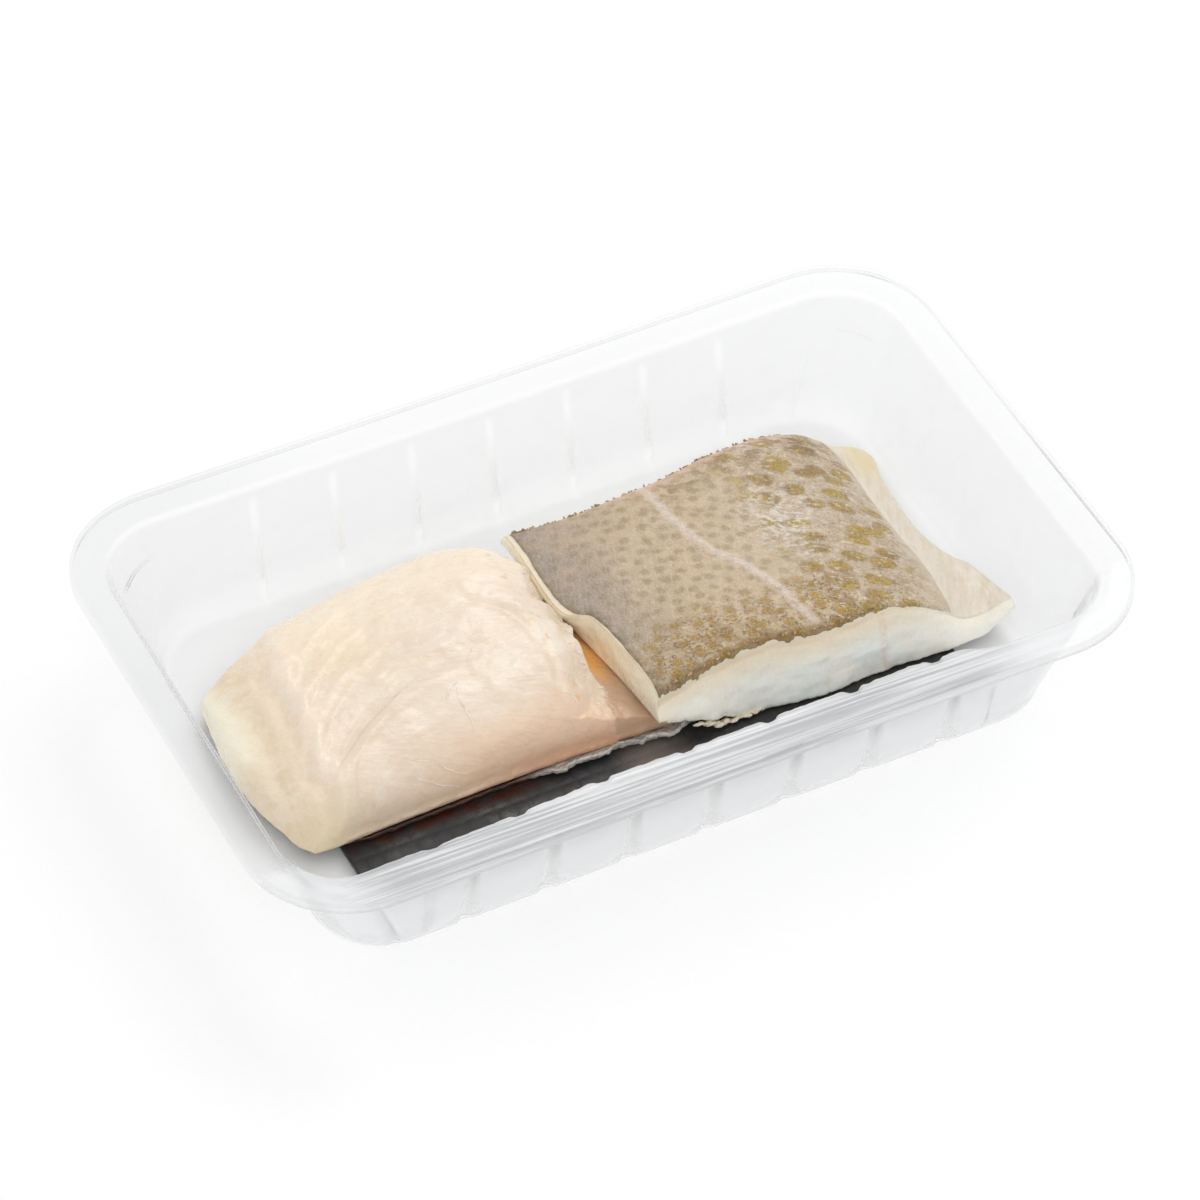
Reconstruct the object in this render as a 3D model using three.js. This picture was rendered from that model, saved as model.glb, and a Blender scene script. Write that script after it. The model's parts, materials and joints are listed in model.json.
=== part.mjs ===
// Two pieces of lightly salted cod in a clear tray, lying on a black absorbent pad.
// One piece lies flesh up, the other skin up, with its corner on the flap of the first.
// Millimetres, +Z up. X runs along the tray, Y across it, the origin is under its middle.
import * as THREE from 'three';

// Tray, formed from one sheet
const TRAY_LENGTH = 225;
const TRAY_WIDTH = 142;
const TRAY_HEIGHT = 35;
const SHEET = 0.6;
const FLANGE_WIDTH = 8;
const FLANGE_RADIUS = 26.4;
const LIP_DROP = 2.5;
const LIP_ROUND = 0.8;
const WALL_TOP_INSET = 8.4;
const BASE_INSET_X = 18.6;
const BASE_INSET_Y = 13.6;
const WALL_RADIUS = 18;
const FOOT_ROUND = 2.4;
const BOW_LONG = 0.9;
const BOW_SHORT = 0.2;

// Flutes pressed into the two long walls, and one into each of two opposite corners
const FLUTES = 7;
const FLUTE_PITCH = 20.6;
const FLUTE_SHIFT = 1.6;
const FLUTE_TOP_Z = 30.5;
const FLUTE_FOOT_Z = 6.5;
const FLUTE_DEPTH_TOP = 0.7;
const FLUTE_DEPTH_FOOT = 3.6;
const FLUTE_HALF_WIDTH_TOP = 1.4;
const FLUTE_HALF_WIDTH_FOOT = 2.6;
// where the flat panel between two flutes starts and ends, as shares of the pitch
const PANEL_START = 0.32;
const PANEL_END = 0.68;
const CORNER_FLUTE_DEGREES = 75;

// Absorbent pad
const GAP = 0.3;
const PAD_THICKNESS = 1.5;
const PAD_LEFT = -79;
const PAD_RIGHT = 77;
const PAD_FRONT = -46;
const PAD_BACK = 28;
const PAD_CORNER_CUT = 0.6;

// Fish
const SKIN = 0.8;
const FLESH_UP_CROWN = 21;
const FLAP_TIP_X = 14;
const FLAP_TIP_Z = 4.8;
const FLAP_SLOPE = 0.3;
const FLAKE_SPACING = 8.5;
const FLAKE_HEIGHT = 0.35;
const BELLY_EDGE_THICKNESS = 2.6;

const PAD_TOP = SHEET + GAP + PAD_THICKNESS;
const FISH_BOTTOM = PAD_TOP + GAP;
const WALL_FOOT_Z = 3.2;

// A closed surface put together from rings and grids of shared points
class Solid {
  constructor() {
    this.points = [];
    this.faces = [];
  }

  add(points) {
    const start = this.points.length;
    this.points.push(...points);
    return points.map((_, i) => start + i);
  }

  // wall between two rings of equal length, seen from outside with the first one below
  band(lower, upper) {
    lower.forEach((a, i) => {
      const j = (i + 1) % lower.length;
      this.faces.push([a, lower[j], upper[j]], [a, upper[j], upper[i]]);
    });
  }

  cap(ring, centre, up) {
    const [middle] = this.add([centre]);
    ring.forEach((a, i) => {
      const b = ring[(i + 1) % ring.length];
      this.faces.push(up ? [a, b, middle] : [b, a, middle]);
    });
  }

  // grid[i][j] with i along X and j along Y
  sheet(grid, up) {
    for (let i = 0; i + 1 < grid.length; i++) {
      for (let j = 0; j + 1 < grid[i].length; j++) {
        const [a, b, c, d] = [grid[i][j], grid[i + 1][j], grid[i + 1][j + 1], grid[i][j + 1]];
        this.faces.push(up ? [a, b, c] : [a, c, b], up ? [a, c, d] : [a, d, c]);
      }
    }
  }

  geometry() {
    const geometry = new THREE.BufferGeometry();
    geometry.setAttribute('position', new THREE.Float32BufferAttribute(this.points.flat(), 3));
    geometry.setIndex(this.faces.flat());
    geometry.computeVertexNormals();
    return geometry;
  }
}

const lerp = THREE.MathUtils.lerp;
const clamp01 = (t) => THREE.MathUtils.clamp(t, 0, 1);
const smooth = (from, to, value) => {
  const t = clamp01((value - from) / (to - from));
  return t * t * (3 - 2 * t);
};

// ---- tray ----

// One level of the tray: a rounded rectangle whose long sides can dip at the flutes
function trayRing({ insetX, insetY, radius, z, dip = 0, dipHalfWidth = FLUTE_HALF_WIDTH_TOP }) {
  const halfX = TRAY_LENGTH / 2 - insetX;
  const halfY = TRAY_WIDTH / 2 - insetY;
  const straightX = halfX - radius;
  const straightY = halfY - radius;
  const firstFlute = FLUTE_SHIFT - (FLUTES - 1) / 2 * FLUTE_PITCH;
  const lastFlute = FLUTE_SHIFT + (FLUTES - 1) / 2 * FLUTE_PITCH;
  const side = [[-straightX, 0], [(firstFlute - dipHalfWidth - straightX) / 2, 0]];
  for (let k = 0; k < FLUTES; k++) {
    const x = firstFlute + k * FLUTE_PITCH;
    side.push([x - dipHalfWidth, 0], [x, dip], [x + dipHalfWidth, 0]);
    if (k + 1 < FLUTES) side.push([x + FLUTE_PITCH * PANEL_START, 0], [x + FLUTE_PITCH * PANEL_END, 0]);
  }
  side.push([(straightX + lastFlute + dipHalfWidth) / 2, 0], [straightX, 0]);

  const corner = (cx, cy, startDegrees, fluted) => {
    const steps = fluted ? [15, 30, 45, 60, 68, CORNER_FLUTE_DEGREES, 82] : [15, 30, 45, 60, 75];
    return steps.map((step) => {
      const angle = THREE.MathUtils.degToRad(startDegrees + step);
      const reach = radius - (fluted && step === CORNER_FLUTE_DEGREES ? dip : 0);
      return [cx + reach * Math.cos(angle), cy + reach * Math.sin(angle)];
    });
  };
  const front = side.map(([x, inward]) => [x, -halfY + inward]);
  const back = side.map(([x, inward]) => [-x, halfY - inward]);
  const outline = [
    ...front, ...corner(straightX, -straightY, 270, false),
    [halfX, -straightY], [halfX, 0], [halfX, straightY], ...corner(straightX, straightY, 0, true),
    ...back, ...corner(-straightX, straightY, 90, false),
    [-halfX, straightY], [-halfX, 0], [-halfX, -straightY],
    ...corner(-straightX, -straightY, 180, true),
  ];
  const bowX = BOW_SHORT / (TRAY_LENGTH / 2);
  const bowY = BOW_LONG / (TRAY_WIDTH / 2);
  return outline.map(([x, y]) => [
    x * (1 - bowX * (1 - (2 * y / TRAY_WIDTH) ** 2)),
    y * (1 - bowY * (1 - (2 * x / TRAY_LENGTH) ** 2)),
    z,
  ]);
}

// The wall at one height, as the outer face of the sheet or, offset by it, the inner face
function wallRing(z, offset) {
  const rise = clamp01((z - WALL_FOOT_Z) / (TRAY_HEIGHT - LIP_DROP - WALL_FOOT_Z));
  const drop = clamp01((WALL_FOOT_Z - z) / WALL_FOOT_Z);
  const footRound = FOOT_ROUND * (1 - Math.sqrt(1 - drop * drop));
  const flute = clamp01((FLUTE_TOP_Z - z) / (FLUTE_TOP_Z - FLUTE_FOOT_Z));
  return trayRing({
    insetX: lerp(BASE_INSET_X, WALL_TOP_INSET, rise) + footRound + offset,
    insetY: lerp(BASE_INSET_Y, WALL_TOP_INSET, rise) + footRound + offset,
    radius: WALL_RADIUS - footRound - offset,
    z,
    dip: flute > 0 ? lerp(FLUTE_DEPTH_TOP, FLUTE_DEPTH_FOOT, flute) : 0,
    dipHalfWidth: lerp(FLUTE_HALF_WIDTH_TOP, FLUTE_HALF_WIDTH_FOOT, flute),
  });
}

function flangeRing(inset, z) {
  return trayRing({ insetX: inset, insetY: inset, radius: FLANGE_RADIUS - inset, z });
}

function makeTray() {
  const tray = new Solid();
  const under = TRAY_HEIGHT - SHEET;
  const lipFoot = TRAY_HEIGHT - LIP_DROP;
  const rings = [
    wallRing(0, 0), wallRing(0.9, 0), wallRing(WALL_FOOT_Z, 0), wallRing(FLUTE_FOOT_Z, 0),
    wallRing(FLUTE_TOP_Z, 0),
    flangeRing(WALL_TOP_INSET, under), flangeRing(SHEET, under), flangeRing(SHEET, lipFoot),
    flangeRing(0, lipFoot), flangeRing(0, TRAY_HEIGHT - LIP_ROUND),
    flangeRing(LIP_ROUND, TRAY_HEIGHT), flangeRing(FLANGE_WIDTH + SHEET, TRAY_HEIGHT),
    wallRing(FLUTE_TOP_Z, SHEET), wallRing(FLUTE_FOOT_Z, SHEET), wallRing(WALL_FOOT_Z, SHEET),
    wallRing(1.2, SHEET), wallRing(SHEET, SHEET + 1),
  ].map((ring) => tray.add(ring));
  tray.cap(rings[0], [0, 0, 0], false);
  for (let i = 0; i + 1 < rings.length; i++) tray.band(rings[i], rings[i + 1]);
  tray.cap(rings[rings.length - 1], [0, 0, SHEET], true);
  return tray.geometry();
}

// ---- absorbent pad ----

// A thin crepe sheet, pressed lightly into rows of shallow cells
function makePad() {
  const pad = new Solid();
  const columns = 26;
  const rows = 12;
  const emboss = 0.25;
  const bottom = SHEET + GAP;
  const place = (i, j, z) => {
    const x = lerp(PAD_LEFT, PAD_RIGHT, i / columns);
    const y = lerp(PAD_FRONT, PAD_BACK, j / rows);
    const atCorner = (i === 0 || i === columns) && (j === 0 || j === rows);
    const cut = atCorner ? PAD_CORNER_CUT : 0;
    return [x + (i === 0 ? cut : -cut), y + (j === 0 ? cut : -cut), z];
  };
  const level = (height) => {
    const grid = [];
    for (let i = 0; i <= columns; i++) {
      const column = [];
      for (let j = 0; j <= rows; j++) column.push(place(i, j, height(i, j)));
      grid.push(pad.add(column));
    }
    return grid;
  };
  const top = level((i, j) => PAD_TOP - emboss * ((i + j) % 2));
  const foot = pad.add(border(top).map((index) => {
    const [x, y] = pad.points[index];
    return [x, y, bottom];
  }));
  pad.sheet(top, true);
  pad.band(foot, border(top));
  pad.cap(foot, [(PAD_LEFT + PAD_RIGHT) / 2, (PAD_FRONT + PAD_BACK) / 2, bottom], false);
  return pad.geometry();
}

// ---- fish ----

// The indices round a grid, counter-clockwise seen from above, from its front left corner
function border(grid) {
  const lastI = grid.length - 1;
  const lastJ = grid[0].length - 1;
  const front = grid.slice(0, lastI).map((column) => column[0]);
  const right = grid[lastI].slice(0, lastJ);
  const back = grid.slice(1).map((column) => column[lastJ]).reverse();
  const left = grid[0].slice(1).reverse();
  return [...front, ...right, ...back, ...left];
}

// A patch between four edge curves: front and back run along X, left and right along Y
class Patch {
  constructor({ front, back, left, right }) {
    const curve = (points) => new THREE.SplineCurve(points.map(([x, y]) => new THREE.Vector2(x, y)));
    this.front = curve(front);
    this.back = curve(back);
    this.left = curve(left);
    this.right = curve(right);
  }

  at(u, v) {
    const [f, b] = [this.front.getPoint(u), this.back.getPoint(u)];
    const [l, r] = [this.left.getPoint(v), this.right.getPoint(v)];
    const [f0, f1] = [this.front.getPoint(0), this.front.getPoint(1)];
    const [b0, b1] = [this.back.getPoint(0), this.back.getPoint(1)];
    const blend = (axis) => lerp(f[axis], b[axis], v) + lerp(l[axis], r[axis], u)
      - lerp(lerp(f0[axis], f1[axis], u), lerp(b0[axis], b1[axis], u), v);
    return [blend('x'), blend('y')];
  }

  // The share u at which the patch reaches x, on the line of constant v
  shareAt(x, v) {
    let [low, high] = [0, 1];
    for (let k = 0; k < 24; k++) {
      const middle = (low + high) / 2;
      if (this.at(middle, v)[0] < x) low = middle;
      else high = middle;
    }
    return low;
  }
}

// Grid stations, closer together near both ends, where the surface turns down
const spread = (k, count) => lerp(k / count, 0.5 - 0.5 * Math.cos(Math.PI * k / count), 0.6);

// Rise of a rounded edge: 0 at the edge, 1 from the given width inwards
const rounded = (distance, width) => Math.sqrt(1 - (1 - clamp01(distance / width)) ** 2);

// Top of the low flap of the first piece, under the corner of the second
const flapTop = (x) => FLAP_TIP_Z + FLAP_SLOPE * (FLAP_TIP_X - x);

const FLESH_UP_OUTLINE = new Patch({
  front: [[-87, -26], [-60, -25], [-30, -24.5], [-6, -25], [FLAP_TIP_X, -25.5]],
  back: [
    [-90, 28], [-80, 34], [-66, 38.5], [-53, 41], [-40, 42.5], [-27, 42], [-17, 38.5], [-9.5, 32],
  ],
  left: [[-87, -26], [-91.5, -19], [-92.6, -8], [-92.6, 10], [-90, 28]],
  right: [[FLAP_TIP_X, -25.5], [11, -12], [4, 2], [-3, 15], [-7, 24], [-9.5, 32]],
});
const FLESH_UP_CENTRE = [-42, 8];
const FLESH_UP_SIDE = 2.2;
const FLESH_UP_COLUMNS = 26;
const FLAP_UP_COLUMNS = 5;
const FLESH_UP_ROWS = 26;

// The ragged cut end, where the piece drops to its flap
const raggedEndX = (y) => -10.4 + 0.9 * Math.sin(y * 0.33) + 0.5 * Math.sin(y * 0.81 + 1)
  + 1.6 * smooth(10, -20, y);

// Height of the piece: a broad crown with rounded edges, a lower strip along its left side
// beyond a fold, and shallow muscle flakes nested round its front right corner
function fleshUpTop(x, y, u, v) {
  const length = 85;
  const depth = 70;
  const fold = -80 + 0.17 * y;
  const strip = smooth(fold + 4, fold - 6, x);
  const crease = 0.9 * Math.exp(-(((x - fold) / 3.6) ** 2));
  const crown = FLESH_UP_CROWN + 1.5 * Math.sin(Math.PI * clamp01(v)) - 4 * smooth(-20, -75, x);
  const flakePhase = 2 * Math.PI * Math.hypot((x - 6) / 1.5, y + 62) / FLAKE_SPACING;
  const flake = FLAKE_HEIGHT * (Math.sin(flakePhase) + 0.4 * Math.sin(2 * flakePhase));
  const body = crown - 6.5 * strip - crease + flake;
  const edge = FISH_BOTTOM + SKIN + GAP + FLESH_UP_SIDE;
  const rise = rounded(u * length, 8) * rounded(v * depth, 11) * rounded((1 - v) * depth, 18);
  return edge + (body - edge) * rise;
}

function makeFleshUp() {
  const piece = new Solid();
  const bottomZ = FISH_BOTTOM + SKIN + GAP;
  const top = [];
  for (let i = 0; i <= FLESH_UP_COLUMNS + FLAP_UP_COLUMNS; i++) {
    const column = [];
    for (let j = 0; j <= FLESH_UP_ROWS; j++) {
      const v = spread(j, FLESH_UP_ROWS);
      const endX = raggedEndX(FLESH_UP_OUTLINE.at(0.9, v)[1]);
      const end = Math.min(FLESH_UP_OUTLINE.shareAt(endX, v), 0.97);
      const beyond = (i - FLESH_UP_COLUMNS) / FLAP_UP_COLUMNS;
      const bodyShare = Math.sin(Math.PI / 2 * i / FLESH_UP_COLUMNS);
      const share = lerp(i / FLESH_UP_COLUMNS, bodyShare ** 1.3, 0.4);
      const u = beyond <= 0 ? end * share : lerp(end, 1, beyond ** 1.5);
      const [x, y] = FLESH_UP_OUTLINE.at(u, v);
      const full = fleshUpTop(x, y, u, v);
      const flap = Math.min(full, flapTop(x) - 0.6 * smooth(FLAP_TIP_X - 6, FLAP_TIP_X, x));
      column.push([x, y, Math.max(beyond > 0 ? flap : full, bottomZ + 0.8)]);
    }
    top.push(piece.add(column));
  }
  const edge = border(top);
  const foot = piece.add(edge.map((index) => {
    const [x, y] = piece.points[index];
    return [x, y, bottomZ];
  }));
  piece.sheet(top, true);
  piece.band(foot, edge);
  piece.cap(foot, [...FLESH_UP_CENTRE, bottomZ], false);
  return piece.geometry();
}

// Skin under the first piece, showing as a dark edge along its front
function makeFleshUpSkin() {
  const skin = new Solid();
  const steps = 30;
  const outline = [];
  const walk = (at) => {
    for (let k = 0; k < steps; k++) outline.push(at(k / steps));
  };
  walk((t) => FLESH_UP_OUTLINE.at(t, 0));
  walk((t) => FLESH_UP_OUTLINE.at(1, t));
  walk((t) => FLESH_UP_OUTLINE.at(1 - t, 1));
  walk((t) => FLESH_UP_OUTLINE.at(0, 1 - t));
  const overhang = 0.9;
  const ring = (z) => skin.add(outline.map(([x, y]) => [x, y - overhang * smooth(-8, -20, y), z]));
  const lower = ring(FISH_BOTTOM);
  const upper = ring(FISH_BOTTOM + SKIN);
  skin.cap(lower, [...FLESH_UP_CENTRE, FISH_BOTTOM], false);
  skin.band(lower, upper);
  skin.cap(upper, [...FLESH_UP_CENTRE, FISH_BOTTOM + SKIN], true);
  return skin.geometry();
}

const SKIN_UP_TOP = new Patch({
  front: [[1.5, -26], [12, -25.5], [27, -25.5], [42, -28], [60, -27.5], [78, -28.4], [94.4, -28.6]],
  back: [[-7.5, 36], [3, 33.5], [17, 33], [30, 34], [48, 37], [62, 39], [73, 39.2], [86, 36.5]],
  left: [[1.5, -26], [-0.5, -12], [-2.5, 0], [-7.4, 6], [-8, 20], [-7.5, 36]],
  right: [[94.4, -28.6], [91.8, -14], [87.5, -2], [86.5, 9], [87.5, 22], [89, 30], [86, 36.5]],
});
const SKIN_UP_FOOT = new Patch({
  front: [[0.5, -29], [13, -29.5], [28, -30], [42, -32], [60, -31.4], [78, -32.2], [94, -30.4]],
  back: [[-5.5, 37], [3, 35.5], [17, 35], [30, 36], [48, 38.7], [62, 40], [73, 40], [86, 37]],
  left: [[0.5, -29], [-1.2, -13], [-3, -2], [-4.6, 10], [-5, 22], [-5.5, 37]],
  right: [[94, -30.4], [91.2, -14], [87.2, -2], [86.2, 9], [87.2, 22], [88.5, 30], [86, 37]],
});

// Height of the skin along the piece: thick loin to the left, thin belly flap to the right
const SKIN_UP_PROFILE = new THREE.SplineCurve([
  [-8, 20.5], [8, 22.5], [30, 24.4], [50, 23.4], [66, 20], [76, 14.8], [82, 9.5], [88, 7.4], [95, 8.6],
].map(([x, z]) => new THREE.Vector2(x, z)));
const SKIN_UP_LEFT = -8;
const SKIN_UP_LENGTH = 103;
const SKIN_UP_CENTRE = [42, 4];
const WALL_REACHED_X = 87;
const WALL_SLOPE = 0.62;
const SKIN_COLUMNS = 19;
const FLAP_COLUMNS = 5;
const SKIN_UP_ROWS = 16;

// Share of the length at which the skin ends, from front to back
const skinEnd = (v) => 0.835 + 0.07 * Math.sin(Math.PI * v) + 0.02 * v;

function profileHeight(x) {
  let t = clamp01((x - SKIN_UP_LEFT) / SKIN_UP_LENGTH);
  for (let k = 0; k < 6; k++) {
    const miss = x - SKIN_UP_PROFILE.getPoint(t).x;
    t = clamp01(t + miss / SKIN_UP_LENGTH);
  }
  return SKIN_UP_PROFILE.getPoint(t).y;
}

function skinUpBottom(x) {
  const onWall = FISH_BOTTOM + WALL_SLOPE * Math.max(0, x - WALL_REACHED_X);
  const onFlap = x < FLAP_TIP_X + 8 ? flapTop(x) + 2 * GAP : 0;
  return Math.max(onWall, onFlap);
}

function skinUpTop(x, y, v) {
  const depth = 64;
  const full = profileHeight(x);
  const frontDrop = (2.6 + 2.6 * smooth(62, 40, x) + 3 * smooth(25, 0, x))
    * (1 - rounded(v * depth, 17)) * smooth(95, 72, x);
  const backDrop = lerp(2.6, 8.4, smooth(-8, 26, x))
    * (1 - rounded((1 - v) * depth, 14)) * smooth(92, 74, x);
  const leftDrop = 1.5 * smooth(8, -8, x);
  const wave = 0.35 * Math.sin(x * 0.21 + 0.6) * Math.sin(y * 0.17);
  const height = full - frontDrop - backDrop - leftDrop + wave;
  return Math.max(height, skinUpBottom(x) + BELLY_EDGE_THICKNESS);
}

// Grid of the flesh just under the skin, and of the bare flap beyond it
function skinUpGrid() {
  const grid = [];
  for (let i = 0; i <= SKIN_COLUMNS + FLAP_COLUMNS; i++) {
    const column = [];
    for (let j = 0; j <= SKIN_UP_ROWS; j++) {
      const v = spread(j, SKIN_UP_ROWS);
      const end = skinEnd(v);
      const beyond = (i - SKIN_COLUMNS) / FLAP_COLUMNS;
      const u = i <= SKIN_COLUMNS ? end * (i / SKIN_COLUMNS) : lerp(end, 1, beyond);
      const [x, y] = SKIN_UP_TOP.at(u, v);
      const covered = i <= SKIN_COLUMNS ? SKIN + GAP : 0;
      column.push({ u, v, point: [x, y, skinUpTop(x, y, v) - covered] });
    }
    grid.push(column);
  }
  return grid;
}

function makeSkinUpFlesh() {
  const piece = new Solid();
  const grid = skinUpGrid();
  const top = grid.map((column) => piece.add(column.map((node) => node.point)));
  const rim = border(grid);
  const edge = border(top);
  const side = (share, bulge) => piece.add(rim.map(({ u, v, point }) => {
    const [x, y] = SKIN_UP_FOOT.at(u, v);
    const bottom = skinUpBottom(x);
    const grain = bulge * (1 + 0.35 * Math.sin(0.9 * x + 0.5 * y));
    const out = v === 0 ? [0, -grain] : [u === 0 ? -0.3 * grain : 0, 0];
    return [
      lerp(x, point[0], share) + out[0],
      lerp(y, point[1], share) + out[1],
      lerp(bottom, point[2], share),
    ];
  }));
  const foot = side(0, 0);
  const levels = [foot, side(0.3, 0.9), side(0.7, 0.8), edge];
  piece.sheet(top, true);
  for (let k = 0; k + 1 < levels.length; k++) piece.band(levels[k], levels[k + 1]);
  const inner = piece.add(foot.map((index) => {
    const [x, y] = piece.points[index];
    const innerX = lerp(SKIN_UP_CENTRE[0], x, 0.8);
    return [innerX, lerp(SKIN_UP_CENTRE[1], y, 0.8), skinUpBottom(innerX)];
  }));
  piece.band(inner, foot);
  piece.cap(inner, [...SKIN_UP_CENTRE, FISH_BOTTOM], false);
  return piece.geometry();
}

function makeSkinUpSkin() {
  const skin = new Solid();
  const grid = skinUpGrid().slice(0, SKIN_COLUMNS + 1);
  const raised = (lift) => grid.map((column) => skin.add(
    column.map(({ point }) => [point[0], point[1], point[2] + lift]),
  ));
  const lower = raised(GAP);
  const upper = raised(GAP + SKIN);
  skin.sheet(lower, false);
  skin.band(border(lower), border(upper));
  skin.sheet(upper, true);
  return skin.geometry();
}

// ---- the object ----

const part = new THREE.Group();

function place(name, geometry, finish) {
  const mesh = new THREE.Mesh(geometry, new THREE.MeshStandardMaterial(finish));
  mesh.name = name;
  part.add(mesh);
}

const CLEAR_PLASTIC = {
  color: 0xeef1f2, roughness: 0.08, metalness: 0, transparent: true, opacity: 0.25,
};
const FLESH = { color: 0xe9d6bf, roughness: 0.35, metalness: 0 };

place('tray', makeTray(), CLEAR_PLASTIC);
place('absorbent_pad', makePad(), { color: 0x35373b, roughness: 0.6, metalness: 0 });
place('flesh_up_flesh', makeFleshUp(), FLESH);
place('flesh_up_skin', makeFleshUpSkin(), { color: 0x6f6a61, roughness: 0.4, metalness: 0 });
place('skin_up_flesh', makeSkinUpFlesh(), { ...FLESH });
place('skin_up_skin', makeSkinUpSkin(), { color: 0xb19e82, roughness: 0.4, metalness: 0 });

export default part;
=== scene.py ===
"""Two pieces of lightly salted cod in a clear tray, on a black absorbent pad.

Sizes inside the shape functions are millimetres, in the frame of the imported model.
"""
import json
import math

import bpy
import numpy as np
from bpy.props import FloatProperty, FloatVectorProperty, IntProperty, PointerProperty
from mathutils import Matrix, Vector
from mathutils.bvhtree import BVHTree

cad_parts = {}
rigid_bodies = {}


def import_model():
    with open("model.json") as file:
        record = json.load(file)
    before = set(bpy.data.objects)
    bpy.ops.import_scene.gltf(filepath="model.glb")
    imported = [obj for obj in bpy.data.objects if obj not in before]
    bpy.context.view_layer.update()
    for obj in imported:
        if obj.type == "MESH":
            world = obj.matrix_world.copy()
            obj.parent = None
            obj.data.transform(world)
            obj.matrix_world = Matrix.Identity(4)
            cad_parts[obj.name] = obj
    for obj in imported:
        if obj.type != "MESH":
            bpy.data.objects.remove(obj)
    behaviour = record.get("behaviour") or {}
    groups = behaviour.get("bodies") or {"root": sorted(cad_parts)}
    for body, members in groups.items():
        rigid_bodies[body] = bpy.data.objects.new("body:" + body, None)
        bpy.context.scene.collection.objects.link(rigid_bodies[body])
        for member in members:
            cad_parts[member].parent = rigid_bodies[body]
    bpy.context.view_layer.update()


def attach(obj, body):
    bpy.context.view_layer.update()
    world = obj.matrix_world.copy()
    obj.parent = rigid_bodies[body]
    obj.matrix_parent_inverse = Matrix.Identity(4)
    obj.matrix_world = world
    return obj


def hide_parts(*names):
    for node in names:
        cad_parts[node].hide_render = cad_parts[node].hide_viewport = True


bl_info = {
    "name": "Cod tray pack",
    "version": (1, 0, 0),
    "blender": (4, 5, 0),
    "location": "3D View > Sidebar > Cod tray",
    "description": "Builds a clear tray with two pieces of cod on an absorbent pad",
    "category": "Add Mesh",
}

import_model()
BODY = "root"
MM = 0.001


# ---- numbers shared by the shapes ----

TRAY_LENGTH, TRAY_WIDTH, TRAY_HEIGHT = 225.0, 142.0, 35.0
SHEET = 0.6
FLANGE_WIDTH = 8.0
FLANGE_RADIUS = 26.4
LIP_DROP = 2.5
LIP_ROUND = 0.8
WALL_TOP_INSET = 8.4
BASE_INSET_X, BASE_INSET_Y = 18.6, 13.6
WALL_RADIUS = 18.0
WALL_FOOT_Z = 3.2
WALL_TOP_Z = 33
WALL_LEVELS = (
    3.2, 4.6, 6.5, 9, 12, 15, 18, 20.5, 22.5, 23.5, 24, 24.6, 26, 28, 29.5, 30.5, 31, 31.6, 32.2, WALL_TOP_Z,
)
FOOT_ROUND = 2.4
BOW_LONG, BOW_SHORT = 0.9, 0.2
FLUTE_SHIFT_FRONT, FLUTE_SHIFT_BACK = -1.4, 0.8
FLUTE_TOP_Z, FLUTE_FOOT_Z = 30.5, 6.5
FLUTED_REACH = 67
NOTCH_SHIFT = -9.0
NOTCH_PITCH = 21.2
RIM_STEP = 3.0

PAD_LEFT, PAD_RIGHT, PAD_FRONT, PAD_BACK = -79.0, 77.0, -46.0, 28.0
GAP = 0.3
PAD_THICKNESS = 1.5
PAD_TOP = SHEET + GAP + PAD_THICKNESS
FISH_BOTTOM = PAD_TOP + GAP
SKIN = 0.8

FLESH_UP_CENTRE = (-42, 8)
FLESH_UP_EDGES = {
    "front": [(-87, -26), (-60, -25), (-30, -24.5), (-6, -25), (14, -25.5)],
    "back": [(-90, 28), (-80, 34), (-66, 38.5), (-53, 41), (-40, 42.5), (-27, 42), (-17, 38.5), (-9.5, 32)],
    "left": [(-87, -26), (-91.5, -19), (-92.6, -8), (-92.6, 10), (-90, 28)],
    "right": [(14, -25.5), (11, -12), (4, 2), (-3, 15), (-7, 24), (-9.5, 32)],
}
SKIN_UP_CENTRE = (42, 4)
SKIN_UP_LENGTH, SKIN_UP_WIDTH = 96, 64
SKIN_UP_TOP_EDGES = {
    "front": [(1.5, -26), (12, -25.5), (27, -25.5), (42, -28), (60, -27.5), (78, -28.4), (94.4, -28.6)],
    "back": [(-7.5, 36), (3, 33.5), (17, 33), (30, 34), (48, 37), (62, 39), (73, 39.2), (86, 36.5)],
    "left": [(1.5, -26), (-0.5, -12), (-2.5, 0), (-7.4, 6), (-8, 20), (-7.5, 36)],
    "right": [(94.4, -28.6), (91.8, -14), (87.5, -2), (86.5, 9), (87.5, 22), (89, 30), (86, 36.5)],
}
SKIN_UP_FOOT_EDGES = {
    "front": [(0.5, -29), (13, -29.5), (28, -30), (42, -32), (60, -31.4), (78, -32.2), (94, -30.4)],
    "back": [(-5.5, 37), (3, 35.5), (17, 35), (30, 36), (48, 38.7), (62, 40), (73, 40), (86, 37)],
    "left": [(0.5, -29), (-1.2, -13), (-3, -2), (-4.6, 10), (-5, 22), (-5.5, 37)],
    "right": [(94, -30.4), (91.2, -14), (87.2, -2), (86.2, 9), (87.2, 22), (88.5, 30), (86, 37)],
}
SKIN_UP_PROFILE = [
    (-8, 20.5), (8, 22.5), (30, 24.4), (50, 23.4), (66, 20), (76, 14.8), (82, 9.5), (88, 7.4), (95, 8.6),
]
LATERAL_LINE = [
    (25.2, 33), (25.8, 28.8), (27, 15.6), (30.3, 3.7), (35.5, -4.4), (38.9, -14), (40.8, -21), (43.6, -28),
]
END_ARC = [(-27, 15), (-20, 8), (-17.5, -4), (-18.5, -14), (-25, -24)]
SWEEP = [(-84, -24), (-77.7, -16), (-70.2, -8.6), (-64.2, -3.9), (-56, -0.2), (-46.1, 1.3), (-30, 3)]
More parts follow.
